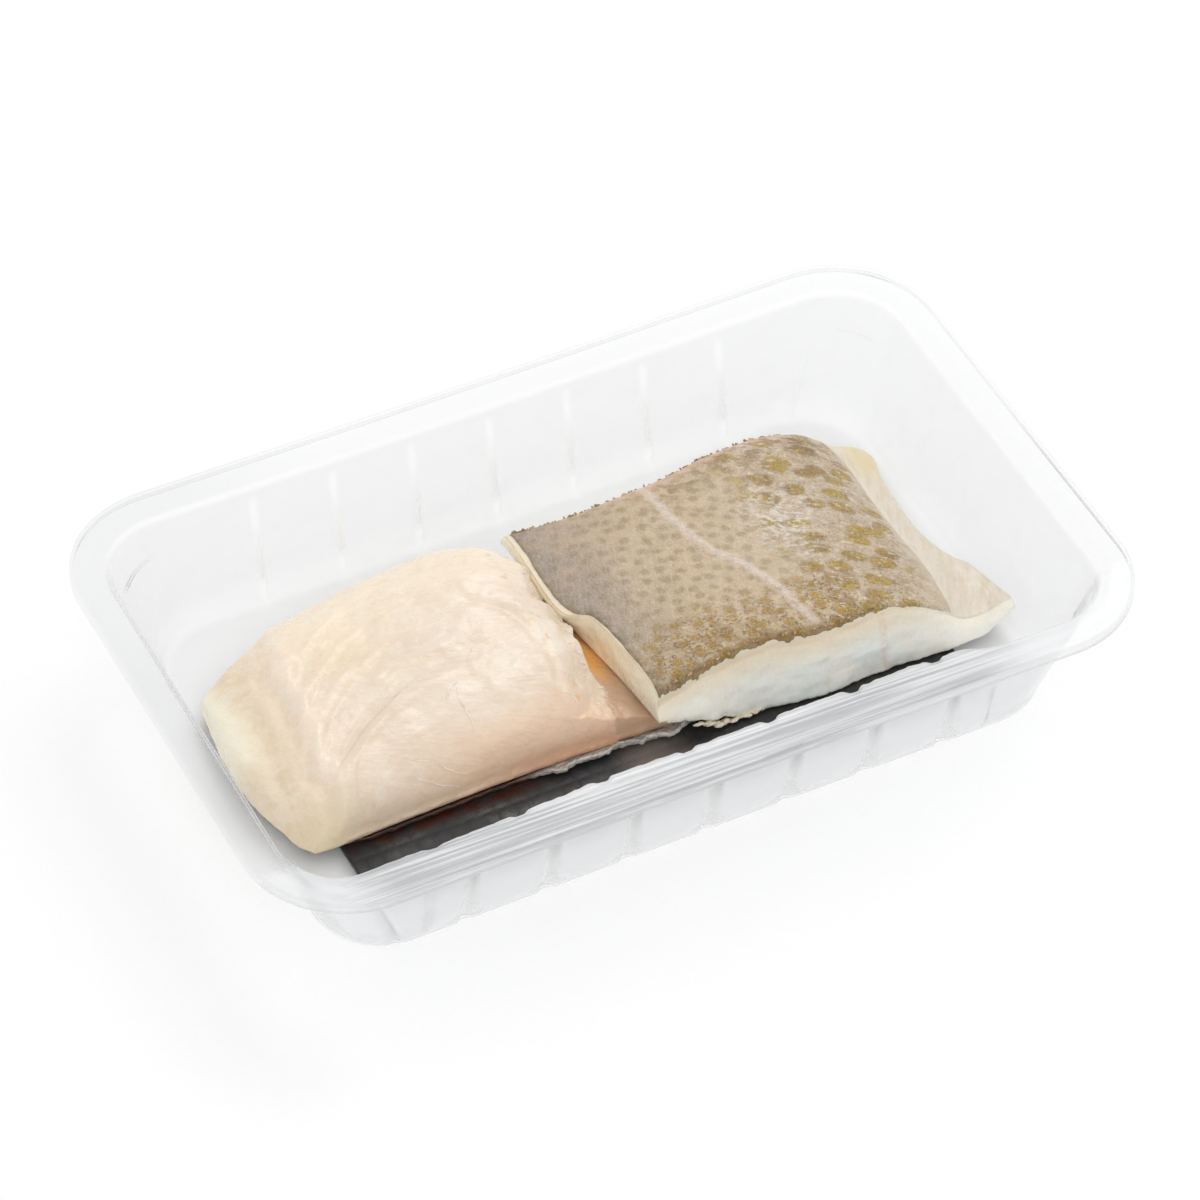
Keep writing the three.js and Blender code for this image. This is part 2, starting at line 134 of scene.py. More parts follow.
FOLD_LINE = [(-73.5, 36), (-76.5, 24), (-78.3, 14), (-79.2, -1), (-80.8, -9), (-81, -26)]


# ---- plain shape maths ----

def lerp(a, b, t):
    return a + (b - a) * t


def smooth(start, end, value):
    t = np.clip((value - start) / (end - start), 0, 1)
    return t * t * (3 - 2 * t)


def hill(value, top, width):
    """A bell curve: 1 at the top, a third at the given width from it."""
    return np.exp(-((value - top) / width) ** 2)


def rounded(distance, width):
    """Rise of a rounded edge: 0 at the edge, 1 from the given width inwards."""
    return np.sqrt(1 - (1 - np.clip(distance / width, 0, 1)) ** 2)


def steps(count, waist):
    """Shares from 0 to 1 in count steps, closer together at both ends by the given share."""
    even = np.arange(count + 1) / count
    return lerp(even, 0.5 - 0.5 * np.cos(math.pi * even), waist)


def curve_at(points, t):
    """Points of a Catmull-Rom curve at the shares t of its knots."""
    p = np.asarray(points, float)
    last = len(p) - 1
    where = np.clip(t, 0, 1) * last
    k = np.minimum(where.astype(int), last)
    w = (where - k)[..., None]
    p0, p1 = p[np.maximum(k - 1, 0)], p[k]
    p2, p3 = p[np.minimum(k + 1, last)], p[np.minimum(k + 2, last)]
    v0, v1 = (p2 - p0) / 2, (p3 - p1) / 2
    return (2 * p1 - 2 * p2 + v0 + v1) * w ** 3 + (3 * p2 - 3 * p1 - 2 * v0 - v1) * w ** 2 + v0 * w + p1


def patch_at(edges, u, v):
    """A patch between four edge curves, u along X and v along Y."""
    f, b = curve_at(edges["front"], u), curve_at(edges["back"], u)
    left, right = curve_at(edges["left"], v), curve_at(edges["right"], v)
    f0, f1 = np.array(edges["front"][0], float), np.array(edges["front"][-1], float)
    b0, b1 = np.array(edges["back"][0], float), np.array(edges["back"][-1], float)
    u, v = u[..., None], v[..., None]
    return lerp(f, b, v) + lerp(left, right, u) - lerp(lerp(f0, f1, u), lerp(b0, b1, u), v)


def share_at(edges, x, v):
    """The share u at which the patch reaches x, on lines of constant v."""
    low, high = np.zeros_like(v), np.ones_like(v)
    for _ in range(22):
        middle = (low + high) / 2
        short = patch_at(edges, middle, v)[..., 0] < x
        low, high = np.where(short, middle, low), np.where(short, high, middle)
    return low


def patchy(x, y, size, seed, layers=3):
    """Soft random relief between about -1 and 1, the same on every run."""
    table = np.random.default_rng(seed).random((64, 64))
    total, weight = np.zeros(np.broadcast(x, y).shape), 0.0
    for layer in range(layers):
        gx, gy = x / size * 2 ** layer + 7.3 * layer, y / size * 2 ** layer + 3.1 * layer
        ix, iy = np.floor(gx).astype(int), np.floor(gy).astype(int)
        fx, fy = smooth(0, 1, gx - ix), smooth(0, 1, gy - iy)
        a = lerp(table[ix % 64, iy % 64], table[(ix + 1) % 64, iy % 64], fx)
        b = lerp(table[ix % 64, (iy + 1) % 64], table[(ix + 1) % 64, (iy + 1) % 64], fx)
        total += (lerp(a, b, fy) * 2 - 1) * 0.5 ** layer
        weight += 0.5 ** layer
    return total / weight * 1.5


def line_distance(x, y, points, samples=160):
    """Distance from each x, y to a curve, and the share of the curve that is nearest."""
    best, share = np.full(np.shape(x), 1e9), np.zeros(np.shape(x))
    for k, (px, py) in enumerate(curve_at(points, np.linspace(0, 1, samples))):
        d = np.hypot(x - px, y - py)
        near = d < best
        best, share = np.where(near, d, best), np.where(near, k / (samples - 1), share)
    return best, share


# ---- meshes ----

def shown(name, data):
    """A new object in the scene that shows the data."""
    made = bpy.data.objects.new(name, data)
    bpy.context.scene.collection.objects.link(made)
    return made


class Shell:
    """A closed surface put together from blocks of points that carry marks."""

    def __init__(self):
        self.blocks, self.faces, self.count = [], [], 0

    def add(self, points, **marks):
        points = np.asarray(points, float)
        shape = points.shape[:-1]
        size = int(np.prod(shape))
        flat = {name: np.broadcast_to(value, shape).ravel() for name, value in marks.items()}
        self.blocks.append((points.reshape(-1, 3), flat))
        index = np.arange(self.count, self.count + size).reshape(shape)
        self.count += size
        return index

    def sheet(self, grid, up=True):
        a, b, c, d = grid[:-1, :-1], grid[1:, :-1], grid[1:, 1:], grid[:-1, 1:]
        order = (a, b, c, d) if up else (a, d, c, b)
        self.faces += np.stack(order, -1).reshape(-1, 4).tolist()

    def bands(self, *rings):
        """Faces between each ring and the next, facing outwards when the rings go up."""
        for lower, upper in zip(rings, rings[1:]):
            low, high = np.roll(lower, -1), np.roll(upper, -1)
            self.faces += np.stack((lower, low, high, upper), -1).tolist()

    def cap(self, ring, centre, up):
        middle = int(self.add(np.array([centre]))[0])
        pairs = zip(ring.tolist(), np.roll(ring, -1).tolist())
        self.faces += [(a, b, middle) if up else (b, a, middle) for a, b in pairs]

    def build(self, name, material):
        mesh = bpy.data.meshes.new(name)
        points = np.concatenate([block[0] for block in self.blocks]) * MM
        mesh.from_pydata(points.tolist(), [], self.faces)
        mesh.validate()
        mesh.polygons.foreach_set("use_smooth", [True] * len(mesh.polygons))
        for key in sorted({key for block in self.blocks for key in block[1]}):
            values = np.concatenate([b[1].get(key, np.zeros(len(b[0]))) for b in self.blocks])
            mark = mesh.attributes.new(key, "FLOAT", "POINT")
            mark.data.foreach_set("value", values.astype(np.float32))
        mesh.materials.append(material)
        mesh.update()
        return shown(name, mesh)


def border(grid):
    """The indices round a grid, counter-clockwise from its front left corner."""
    return np.concatenate([grid[:-1, 0], grid[-1, :-1], grid[:0:-1, -1], grid[0, :0:-1]])


def clear_old(*names):
    """Removes the pieces that an operator made before."""
    for name in names:
        for piece in [o for o in bpy.data.objects if o.name == name or o.name.startswith(name + ".")]:
            bpy.data.objects.remove(piece, do_unlink=True)


def settle(piece, slot, *nodes):
    """A finished piece rides on the body and stands for its CAD nodes. The slot is not used."""
    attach(piece, BODY)
    if nodes:
        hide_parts(*nodes)


def tube(shell, points, radii, sides=7):
    """A thin closed strand through the points."""
    points = np.asarray(points, float)
    along = np.gradient(points, axis=0)
    along /= np.linalg.norm(along, axis=1)[:, None]
    side = np.cross(along, (0, 0, 1.0))
    side /= np.maximum(np.linalg.norm(side, axis=1), 1e-6)[:, None]
    up = np.cross(side, along)
    angles = np.linspace(0, 2 * math.pi, sides, endpoint=False)
    rings = [
        shell.add(p + r * (np.cos(angles)[:, None] * s + 0.75 * np.sin(angles)[:, None] * w))
        for p, r, s, w in zip(points, radii, side, up)
    ]
    shell.bands(*rings[::-1])
    shell.cap(rings[0], points[0], False)
    shell.cap(rings[-1], points[-1], True)


def resting_on(piece, points, lift):
    """The points dropped on the upper side of a piece, or on the pad beside it."""
    mesh = piece.data
    tree = BVHTree.FromPolygons([v.co for v in mesh.vertices], [p.vertices for p in mesh.polygons])
    landed = []
    for x, y in points:
        hit = tree.ray_cast(Vector((x * MM, y * MM, 0.1)), Vector((0, 0, -1)))[0]
        landed.append((x, y, hit.z / MM + lift if hit else PAD_TOP + lift))
    return np.array(landed)


# ---- node trees as expressions ----

def tone(red, green, blue):
    """A screen colour, 0 to 255, as linear values."""
    def linear(c):
        c /= 255
        return c / 12.92 if c <= 0.04045 else ((c + 0.055) / 1.055) ** 2.4
    return linear(red), linear(green), linear(blue), 1.0


def operator(operation, swapped=False):
    """A method that puts a field and another value through the operation."""
    def apply(self, other):
        return self.graph.maths(operation, *((other, self) if swapped else (self, other)))
    return apply


class Field:
    """A node's output that is added, multiplied and compared like a number."""

    def __init__(self, graph, socket):
        self.graph, self.socket = graph, socket

    __add__ = __radd__ = operator("ADD")
    __sub__, __rsub__ = operator("SUBTRACT"), operator("SUBTRACT", True)
    __mul__ = __rmul__ = operator("MULTIPLY")
    __truediv__ = operator("DIVIDE")
    __pow__ = operator("POWER")
    least, most = operator("MINIMUM"), operator("MAXIMUM")

    def rise(self, start, end, low=0, high=1):
        """Goes smoothly from low to high while the value goes from start to end."""
        ends = {"Value": self, "From Min": start, "From Max": end, "To Min": low, "To Max": high}
        return self.graph.out("MapRange", ends, "Result", interpolation_type="SMOOTHSTEP")

    def near(self, centre, reach):
        """1 at the centre, falling to 0 at the reach."""
        return self.graph.maths("ABSOLUTE", self - centre).rise(0, reach, 1, 0)


class Graph:
    """A node tree to which expressions add their nodes."""

    def __init__(self, tree):
        self.tree = tree

    def node(self, kind, sockets=None, **settings):
        """A new node. Kinds other than GeometryNode are given without ShaderNode in front."""
        node = self.tree.nodes.new(kind if kind.startswith("GeometryNode") else "ShaderNode" + kind)
        for key, value in settings.items():
            setattr(node, key, value)
        for key, value in (sockets or {}).items():
            if isinstance(value, Field):
                self.tree.links.new(value.socket, node.inputs[key])
            else:
                node.inputs[key].default_value = value
        return node

    def out(self, kind, sockets=None, output=0, **settings):
        return Field(self, self.node(kind, sockets, **settings).outputs[output])

    def maths(self, operation, *values):
        return self.out("Math", dict(enumerate(values)), operation=operation)


class Finish(Graph):
    """One material. Its x, y and z are the object's own, in millimetres."""

    def __init__(self, name):
        old = bpy.data.materials.get(name)
        if old:
            bpy.data.materials.remove(old)
        self.material = bpy.data.materials.new(name)
        self.material.use_nodes = True
        super().__init__(self.material.node_tree)
        self.tree.nodes.clear()
        self.place = self.out("TexCoord", None, "Object")
        axes = self.node("SeparateXYZ", {0: self.place}).outputs
        self.x, self.y, self.z = [Field(self, axis) * 1000 for axis in axes]
        self.base = None

    def mix(self, share, first, second):
        return self.out("Mix", {0: share, 6: first, 7: second}, 2, data_type="RGBA")

    def paint(self, colour, *layers):
        """The base colour: tones laid over the first colour one after another, each by its share."""
        for share, *shade in layers:
            colour = self.mix(share, colour, tone(*shade) if len(shade) == 3 else shade[0])
        self.base = colour

    def mark(self, name):
        return self.out("Attribute", None, "Fac", attribute_name=name)

    def stretched(self, size, turn, shift, bend):
        """Object coordinates in units of size, in millimetres a side, turned about Z in degrees.

        A bend pushes them about by soft noise: how far, and how often in a unit.
        """
        where = (size,) * 3 if isinstance(size, (int, float)) else size
        if not isinstance(where, Field):
            scale = tuple(1000.0 / side for side in where)
            turned = self.out("Mapping", {"Vector": self.place, "Rotation": (0, 0, math.radians(turn))})
            where = self.out("Mapping", {"Vector": turned, "Location": shift, "Scale": scale})
        if bend:
            amount, often = bend
            noise = self.out("TexNoise", {"Vector": where, "Scale": often, "Detail": 1}, "Color")
            centred = self.out("VectorMath", {0: noise, 1: (0.5,) * 3}, operation="SUBTRACT")
            pushed = {0: centred, 1: (amount,) * 3, 2: where}
            where = self.out("VectorMath", pushed, operation="MULTIPLY_ADD")
        return where

    def noise(self, size, detail=2, roughness=0.5, turn=0, shift=(0, 0, 0), bend=None):
        """Soft noise with grains of the given size."""
        where = self.stretched(size, turn, shift, bend)
        sockets = {"Vector": where, "Scale": 1, "Detail": detail, "Roughness": roughness}
        return self.out("TexNoise", sockets, "Fac")

    def cells(self, size, turn, bend, randomness, feature="F1"):
        """Distances to the middle, or to the edge, of scattered cells of the given size."""
        where = self.stretched(size, turn, (0, 0, 0), bend)
        sockets = {"Vector": where, "Scale": 1, "Randomness": randomness}
        return self.out("TexVoronoi", sockets, "Distance", feature=feature, voronoi_dimensions="2D")

    def bump(self, height, depth, normal=None):
        """A bump whose height of 1 stands for depth millimetres."""
        under = {"Normal": normal} if normal else {}
        return self.out("Bump", {"Height": height, "Distance": depth * MM, "Strength": 1, **under})

    def principled(self, sockets):
        return self.out("BsdfPrincipled", sockets)

    def blend(self, share, first, second):
        return self.out("MixShader", {0: share, 1: first, 2: second})

    def clear(self, red, green, blue):
        return self.out("BsdfTransparent", {"Color": (red, green, blue, 1)})

    def done(self, shader):
        self.node("OutputMaterial", {"Surface": shader})
        return self.material

    def opaque(self, roughness, more):
        """The material with its painted base, a roughness and more sockets."""
        return self.done(self.principled({"Base Color": self.base, "Roughness": roughness, **more}))


# ---- finishes ----

def clear_plastic(colour):
    """Thin clear sheet: see-through, greyer at a slant, milky with drawn streaks in the front rim."""
    f = Finish("clear_plastic")
    slant = f.out("LayerWeight", {"Blend": 0.5}, "Facing")
    outer = (f.x.rise(-104, -108) + f.y.rise(62, 66) + f.x.rise(106, 109) * f.y.rise(-20, 10)).least(1)
    gloss = slant ** 4 * (0.7 - outer * 0.6)
    drawn = f.noise((60, 1, 2), 3, 0.65, turn=0.8)
    cloud = f.noise((12, 9, 8), 1)
    ripple = f.noise((19, 19, 12), 1)
    groove = f.mark("flute")
    at_front = f.y.rise(-50, -54)
    rim = f.y.rise(-57, -58) * f.z.rise(31, 33) * f.x.rise(-100, -82) * f.x.rise(82, 58)
    # panel and slot carry painted light: the front wall's panels and the slots between them are painted
    # lighter and milkier, to lift the shade where they face down or lie in hollows
    panel = at_front * f.mark("pillow") * (1 - rim)
    slot = groove * at_front * f.z.rise(31, 28)
    # painted shade: thin dark lines along the steps of the front rim
    painted_dark_edge_lines = (f.y.near(-69.3, 0.5) + f.y.near(-62.2, 0.5) * 0.5) * cloud.rise(0.42, 0.58)
    f.paint(
        f.mix(drawn.rise(0.42, 0.62), tone(190, 191, 193), tone(221, 222, 223)),
        # painted highlights: paler bands along the rim's inner edge and its outer lip
        ((f.y.rise(-61.6, -60.2) + f.y.rise(-69.6, -70.4)).least(1) * 0.65, 240, 240, 241),
        (painted_dark_edge_lines.least(1) * f.x.rise(-30, 20) * 0.5, 140, 141, 144),
    )
    streaks = f.base
    # painted light: lighter panels and near-white slots on the front wall
    f.paint(colour, (panel, 240, 241, 242), (slot, 252, 252, 253), (rim, streaks))
    wall = f.z.rise(0.2, 11, 0.06, 0.26) * f.z.rise(33, 31.5) * (1 - groove)
    # a slight grey film on the flange top, plus painted shade that makes its left side darker
    flat = f.z.rise(33.6, 34.5) * (0.1 + f.x.rise(-40, -80) * 0.18)
    grey = (slant.rise(0.55, 0.95) * (1 - groove) * (0.5 - outer * 0.45)).most(wall).most(flat)
    bright = f.clear(0.984, 0.985, 0.986)
    film = f.blend(grey, bright, f.clear(0.83, 0.835, 0.84))
    sheet = f.principled({
        "Base Color": f.base, "Roughness": 0.24, "Specular IOR Level": 0.5, "Normal": f.bump(ripple, 0.4),
    })
    milk = rim * (0.5 + drawn.rise(0.4, 0.62) * 0.3)
    front_wall = at_front * f.z.rise(3, 9) * (1 - rim)
    # painted highlights: whiter, milkier lines down the back wall's flutes
    painted_flute_highlight = groove * f.y.rise(44, 50) * f.z.rise(28, 12) * f.z.rise(5, 9)
    share = gloss + 0.02 + cloud.rise(0.45, 0.75) * 0.02 + milk
    share = share + front_wall * 0.3 + panel * 0.36 + slot * 0.24 + painted_flute_highlight * 0.26
    side_lip = f.x.rise(-86, -98) * f.z.rise(22, 32)
    shade = f.blend(side_lip, bright, f.clear(0.78, 0.785, 0.79))
    lamp_ray = f.out("LightPath", None, "Is Shadow Ray")
    return f.done(f.blend(lamp_ray, f.blend(share.least(0.96), film, sheet), shade))


def pad_crepe(colour):
    """Damp black crepe with a fine weave, soft folds, pale scuffs and brown-red stains by the fish."""
    f = Finish("pad_crepe")
    weave = f.noise((0.5, 0.7, 0.6))
    blot = f.noise((16, 11, 8), 3)
    fold = f.noise((3.2, 16, 6), turn=8, bend=(0.3, 0.5))
    stain = f.x.rise(-80, -74) * f.x.rise(-18, -40) * f.y.rise(-29, -27.8)
    stain = stain * f.noise((3.4, 2.4, 3), 4, 0.65).rise(0.36, 0.54)
    scuff = f.noise((5, 0.9, 3), 4, 0.7, turn=-24).rise(0.66, 0.78)
    f.paint(
        colour,
        (blot.rise(0.35, 0.7) * 0.7, 54, 54, 54),
        (f.x.near(-2, 12) * 0.8, 124, 112, 104),
        (scuff * (f.x.near(-4, 18) * 0.6 + 0.08), 150, 150, 152),
        (stain * 0.95, 62, 26, 14),
    )
    wet = blot.rise(0.42, 0.6, 0.5, 0.3)
    return f.opaque(wet, {"Normal": f.bump(weave, 0.08, f.bump(fold, 0.35)), "Specular IOR Level": 0.4})


def soft_flesh(colour):
    """Raw cod flesh seen from above: cream muscle flakes, blush by the fold, wet gloss."""
    f = Finish("soft_flesh")
    fold, seam, flap = f.mark("fold"), f.mark("seam"), f.mark("flap")
    along_fibres = f.out("CombineXYZ", {0: f.mark("flake") / 6, 1: f.mark("fibre") / 0.8, 2: f.z / 6})
    fibre = f.noise(along_fibres, 3, 0.6, bend=(0.6, 0.5))
    # painted sheen: pale, wet-looking blotches on the flesh
    painted_sheen_blotch = f.noise((8, 6, 8), turn=25, bend=(0.4, 0.6)).rise(0.54, 0.6)
    cloud = f.noise((17, 15, 15), 3)
    mottle = f.noise((4.5, 3.2, 4), 3, 0.6, turn=30)
    fine = f.noise(0.8)
    dots = f.noise((2.2, 3, 3)).rise(0.6, 0.68)
    blush = (fold.near(7, 9) * 0.5 + fold.near(0.8, 2.6)) * (mottle * 0.6 + cloud * 0.4).rise(0.42, 0.6)
    # painted highlight: two pale wet patches on the upper side
    painted_wet_highlight = (f.x.near(-50, 14) * f.y.near(2, 11)).most(f.x.near(-32, 12) * f.y.near(-8, 8))
    f.paint(
        colour,
        (cloud.rise(0.34, 0.66), 240, 225, 207),
        (f.y.rise(8, 34) * f.x.rise(-86, -70) * 0.85, 253, 236, 213),
        (fibre.rise(0.46, 0.68) * 0.24, 249, 236, 216),
        (painted_sheen_blotch * 0.2, 248, 240, 224),
        (mottle.rise(0.5, 0.36) * 0.18, 234, 210, 178),
        (seam * mottle.rise(0.36, 0.58) * 0.38, 234, 206, 170),
        # painted light: lighter along the fold's slope on the body side, lifting its shade
        (fold.near(2.5, 6.5) * 0.55, 255, 240, 222),
        ((blush * 0.34).least(0.7), 238, 200, 160),
        # painted light: lighter along the fold's slope on the strip side, lifting its shade
        (fold.near(-2, 7) * 0.45, 250, 228, 196),
        (f.x.near(-60, 16) * f.y.near(16, 16) * 0.5, 242, 220, 184),
        (painted_wet_highlight * mottle.rise(0.4, 0.6) * 0.5, 243, 232, 208),
        # the strip beyond the fold, and its pale back end
        (fold.rise(-1, -6) * 0.6, 241, 225, 198),
        (fold.rise(-1, -5) * mottle.rise(0.46, 0.6) * 0.5, 230, 208, 172),
        (f.x.rise(-84, -90.5) * f.y.rise(-8, 10) * 0.9, 255, 248, 226),
        # the front: low down, the slope, the foot and the left corner
        (f.z.rise(16, 5) * f.y.rise(-14, -23) * 0.45, 232, 196, 160),
        (f.y.rise(-12, -24.5) * f.x.rise(-70, -30) * 0.6, 238, 194, 158),
        (f.z.rise(12, 5) * f.x.rise(-46, -24) * f.y.rise(-16, -23) * 0.55, 206, 146, 108),
        (f.y.rise(-16, -24) * f.x.rise(-70, -80) * 0.6, 226, 212, 178),
        # the torn end and the flap under the other piece
        (f.x.near(-15.5, 5) * dots * 0.55, 232, 186, 128),
        (f.x.rise(-15, -9) * mottle.rise(0.42, 0.58) * 0.3, 232, 214, 194),
        (flap * 0.85, 200, 164, 134),
        # the flap's own tone with painted warm shade: a deep orange wedge under the other piece's edge
        (flap * f.y.near(-3, 13) * f.x.rise(2, -5) * 0.95, 255, 190, 104),
    )
    return f.opaque((mottle * 0.6 + fine * 0.4).rise(0.4, 0.6, 0.26, 0.44), {
        "Normal": f.bump(fibre * 0.28 + mottle + fine * 0.08, 0.5), "IOR": 1.38,
        "Subsurface Weight": 0.14, "Subsurface Radius": (1, 0.5, 0.32), "Subsurface Scale": 0.004,
        "Coat Weight": 0.22, "Coat Roughness": 0.16,
    })


def cut_flesh(colour):
    """The cut faces under the skin: white, bluish and glossy in front, with upright fibres."""
    f = Finish("cut_flesh")
    side, rise = f.mark("side"), f.mark("rise")
    upright = f.noise((2.6, 2.6, 14), 3, bend=(0.6, 0.4))
    cloud = f.noise((14, 14, 9))
    fine = f.noise((0.8, 0.8, 1.4))
    grain = f.noise((8, 1.6, 3), 3, turn=-62, bend=(0.5, 0.5))
    cool = f.x.rise(14, 40) * f.x.rise(76, 54) * cloud.rise(0.3, 0.6) * rise.rise(0.95, 0.45) * side
    seam = f.maths("ABSOLUTE", f.x + (cloud - 0.5) * 5 - 59).rise(1.6, 0.2) * side * f.y.rise(-20, -24)
    flap = f.x.rise(70, 82) * (1 - side)
    f.paint(
        colour,
        (upright.rise(0.35, 0.7) * 0.5, 252, 251, 244),
        (cool * 0.75, 236, 244, 241),
        (rise.rise(0.5, 1) * side * f.x.rise(80, 60, 0.3, 0.75), 242, 224, 192),
        ((1 - side) * f.x.rise(76, 66) * 0.8, 234, 220, 190),
        (f.x.rise(8, 1) * side * 0.8, 244, 234, 208),
        (rise.rise(0.9, 0.98) * side * f.x.rise(66, 54) * cloud.rise(0.4, 0.6) * 0.6, 232, 200, 168),
        (seam * fine.rise(0.3, 0.6) * 0.35, 228, 184, 160),
        (flap * 0.85, 222, 211, 194),
        (flap * grain.rise(0.42, 0.62) * 0.36, 208, 188, 160),
        (flap * fine.rise(0.54, 0.66) * 0.3, 236, 226, 210),
        (f.x.rise(78, 85) * f.y.rise(16, 28) * 0.6, 228, 212, 162),
        # painted shade: darker along the foot of the cut faces, where they meet the pad
        (rise.rise(0.08, 0) * side * 0.35, 206, 196, 174),
    )
    return f.opaque(fine.rise(0.3, 0.7, 0.16, 0.34) + (1 - side) * 0.14, {
        "Normal": f.bump(upright * 0.05 + cloud + fine * 0.05, 2.4), "IOR": 1.4,
        "Subsurface Weight": 0.12, "Subsurface Radius": (0.9, 0.65, 0.5), "Subsurface Scale": 0.004,
        "Coat Weight": side * 0.45 + 0.1, "Coat Roughness": 0.1,
    })


def cod_skin(colour, spot_colour):
    """Scaled cod skin: grey left end, rows of soft spots, gold spots to the right, pale lateral line."""
    f = Finish("cod_skin")
    line, front, back, left, right = [f.mark(n) for n in ("line", "front", "back", "left", "right")]
    wobble = f.noise((2.6, 2.6, 4), 4, 0.6)
    fine = f.noise((0.8, 0.6, 1), 3, 0.65, turn=20)
    sway, speck = wobble - 0.5, fine - 0.5
    cloud = f.noise((13, 10, 12), 3, turn=12)
    flecks = f.noise((1.9, 1.1, 3), 3, 0.7, turn=24, shift=(3, 8, 0))
    rust = f.noise((11, 7, 60), 1, turn=27, shift=(2, 5, 0)).rise(0.52, 0.62) * 0.7
    brown = f.noise((3.6, 2.4, 4), 3, 0.6, turn=27, shift=(9, 4, 0)).rise(0.46, 0.58)
    small = f.cells((4.1, 3.3, 60), 27, (0.35, 0.7), 0.6)
    big = f.cells((9, 5.4, 60), 27, (0.3, 0.6), 0.75)
    scale_edge = f.cells((1.35, 1, 60), 20, (0.2, 0.5), 0.8, "DISTANCE_TO_EDGE")

    right_zone = f.x.rise(40, 52)
    front_zone = (front + sway * 9).rise(15.5, 6) * f.x.rise(-1, 6) * f.x.rise(58, 46, 0.35, 1)
    back_zone = (back + sway * 10).rise(18, 6) * f.x.rise(16, 30)
    soft_spot = (small + sway * 0.5 + speck * 0.2).rise(0.46, 0.12)
    soft_share = f.x.rise(-2, 14, 0.34, 0.5) * f.x.rise(58, 46, 0.2, 1)
    gold_edge = big + sway * 0.6 + speck * 0.15
    blob = small + sway * 0.5
    crumbs = fine.rise(0.46, 0.58) * blob.near(0.42, 0.2)
    pale_line = (line + sway * 3 + speck * 1.6).rise(2, 0.4)
    near_front = (front + speck * 5).rise(2.4, 0.6) * f.x.rise(0, 6) * f.x.rise(64, 50)
    near_left = (left + sway * 6).rise(5, 0.6) * wobble.rise(0.36, 0.56) * f.y.rise(12, -4, 0.5, 1)
    near_back = (back + sway * 8).rise(8, 1) * f.x.rise(12, 28)
    to_right_end = right / (f.y.rise(0, -26) * 9 + 2.6) + sway * 1.1
    f.paint(
        f.mix(f.x.rise(-6, 20), tone(170, 156, 143), colour),
        (f.x.rise(36, 58) * 0.85, 206, 188, 164),
        (cloud.rise(0.42, 0.66) * 0.4, 214, 186, 152),
        (soft_spot * soft_share, 142, 124, 92),
        (gold_edge.near(0.34, 0.1) * right_zone * wobble.rise(0.44, 0.56) * 0.6, 112, 84, 48),
        (gold_edge.rise(0.38, 0.24) * right_zone * 0.9, f.mix(rust, spot_colour, tone(142, 104, 58))),
        (front_zone * 0.36, 196, 170, 126),
        (blob.rise(0.36, 0.22) * front_zone * 0.85, 172, 134, 50),
        ((crumbs * (front_zone + right_zone * 0.5)).least(1) * 0.75, 104, 78, 42),
        (brown * (front_zone * 0.35 + right_zone * 0.22 + back_zone * 0.45 + 0.06).least(1), 134, 102, 52),
        (scale_edge.rise(0.12, 0) * 0.22, 232, 216, 198),
        (flecks.rise(0.56, 0.66) * (right_zone * 0.5 + front_zone * 0.3 + 0.12), 232, 220, 208),
        (fine.rise(0.6, 0.72) * 0.34, 122, 100, 70),
        (f.x.near(50, 15) * f.y.near(6, 19) * flecks.rise(0.44, 0.58) * 0.75, 232, 224, 214),
        (pale_line * (0.45 + wobble.rise(0.36, 0.54) * 0.35), 226, 210, 196),
        (f.x.near(70, 10) * f.y.near(30, 8) * wobble.rise(0.44, 0.58) * 0.6, 120, 96, 64),
        (near_front * 0.6, 140, 108, 56),
        (near_left * 0.55, 118, 102, 76),
        (near_back * 0.66, 240, 192, 166),
        (to_right_end.rise(1, 0.1) * 0.7, 220, 203, 180),
    )
    relief = (scale_edge.rise(0, 0.3) * 0.5 + fine * 0.7 + flecks * 0.4) * 0.43 + wobble
    return f.opaque(fine.rise(0.3, 0.7, 0.3, 0.52), {
        "Normal": f.bump(relief, 0.6), "IOR": 1.4, "Coat Weight": 0.2, "Coat Roughness": 0.18,
    })


def frayed_skin(colour):
    """Frayed skin: brown to gold, with pinkish ends."""
    f = Finish("frayed_skin")
    mottle = f.noise(1.2, 3)
    tint = f.noise(5)
    f.paint(
        f.mix(tint.rise(0.42, 0.58) * 0.7, tone(140, 112, 76), colour),
        (mottle.rise(0.5, 0.62) * 0.8, 222, 190, 164),
    )
    return f.opaque(0.4, {"Normal": f.bump(mottle, 0.2), "Coat Weight": 0.2})


def skin_rim(colour):
    """The edge of the lower skin: near-black brown to the left, torn and silver-grey to the right."""
    f = Finish("skin_rim")
    tear = f.noise((2.4, 1.2, 0.8), 4, 0.65)
    f.paint(
        tone(38, 24, 17),
        (tear.rise(0.4, 0.6) * 0.7, 96, 54, 32),
        ((f.x.rise(-75, -80) + f.y.rise(-22, -16)).least(1), 214, 198, 168),
        (f.x.rise(-36, -22), f.mix(tear.rise(0.38, 0.62), colour, tone(226, 221, 212))),
    )
    return f.opaque(0.34, {"Normal": f.bump(tear, 0.6), "Coat Weight": 0.3, "Coat Roughness": 0.15})


def pale_shreds(colour):
    """White threads and scraps of membrane."""
    f = Finish("pale_shreds")
    mottle = f.noise(1.6, 3)
    f.paint(colour, (mottle.rise(0.35, 0.7), 236, 214, 186))
    return f.opaque(0.28, {"Normal": f.bump(mottle, 0.2), "Coat Weight": 0.4, "Coat Roughness": 0.1})


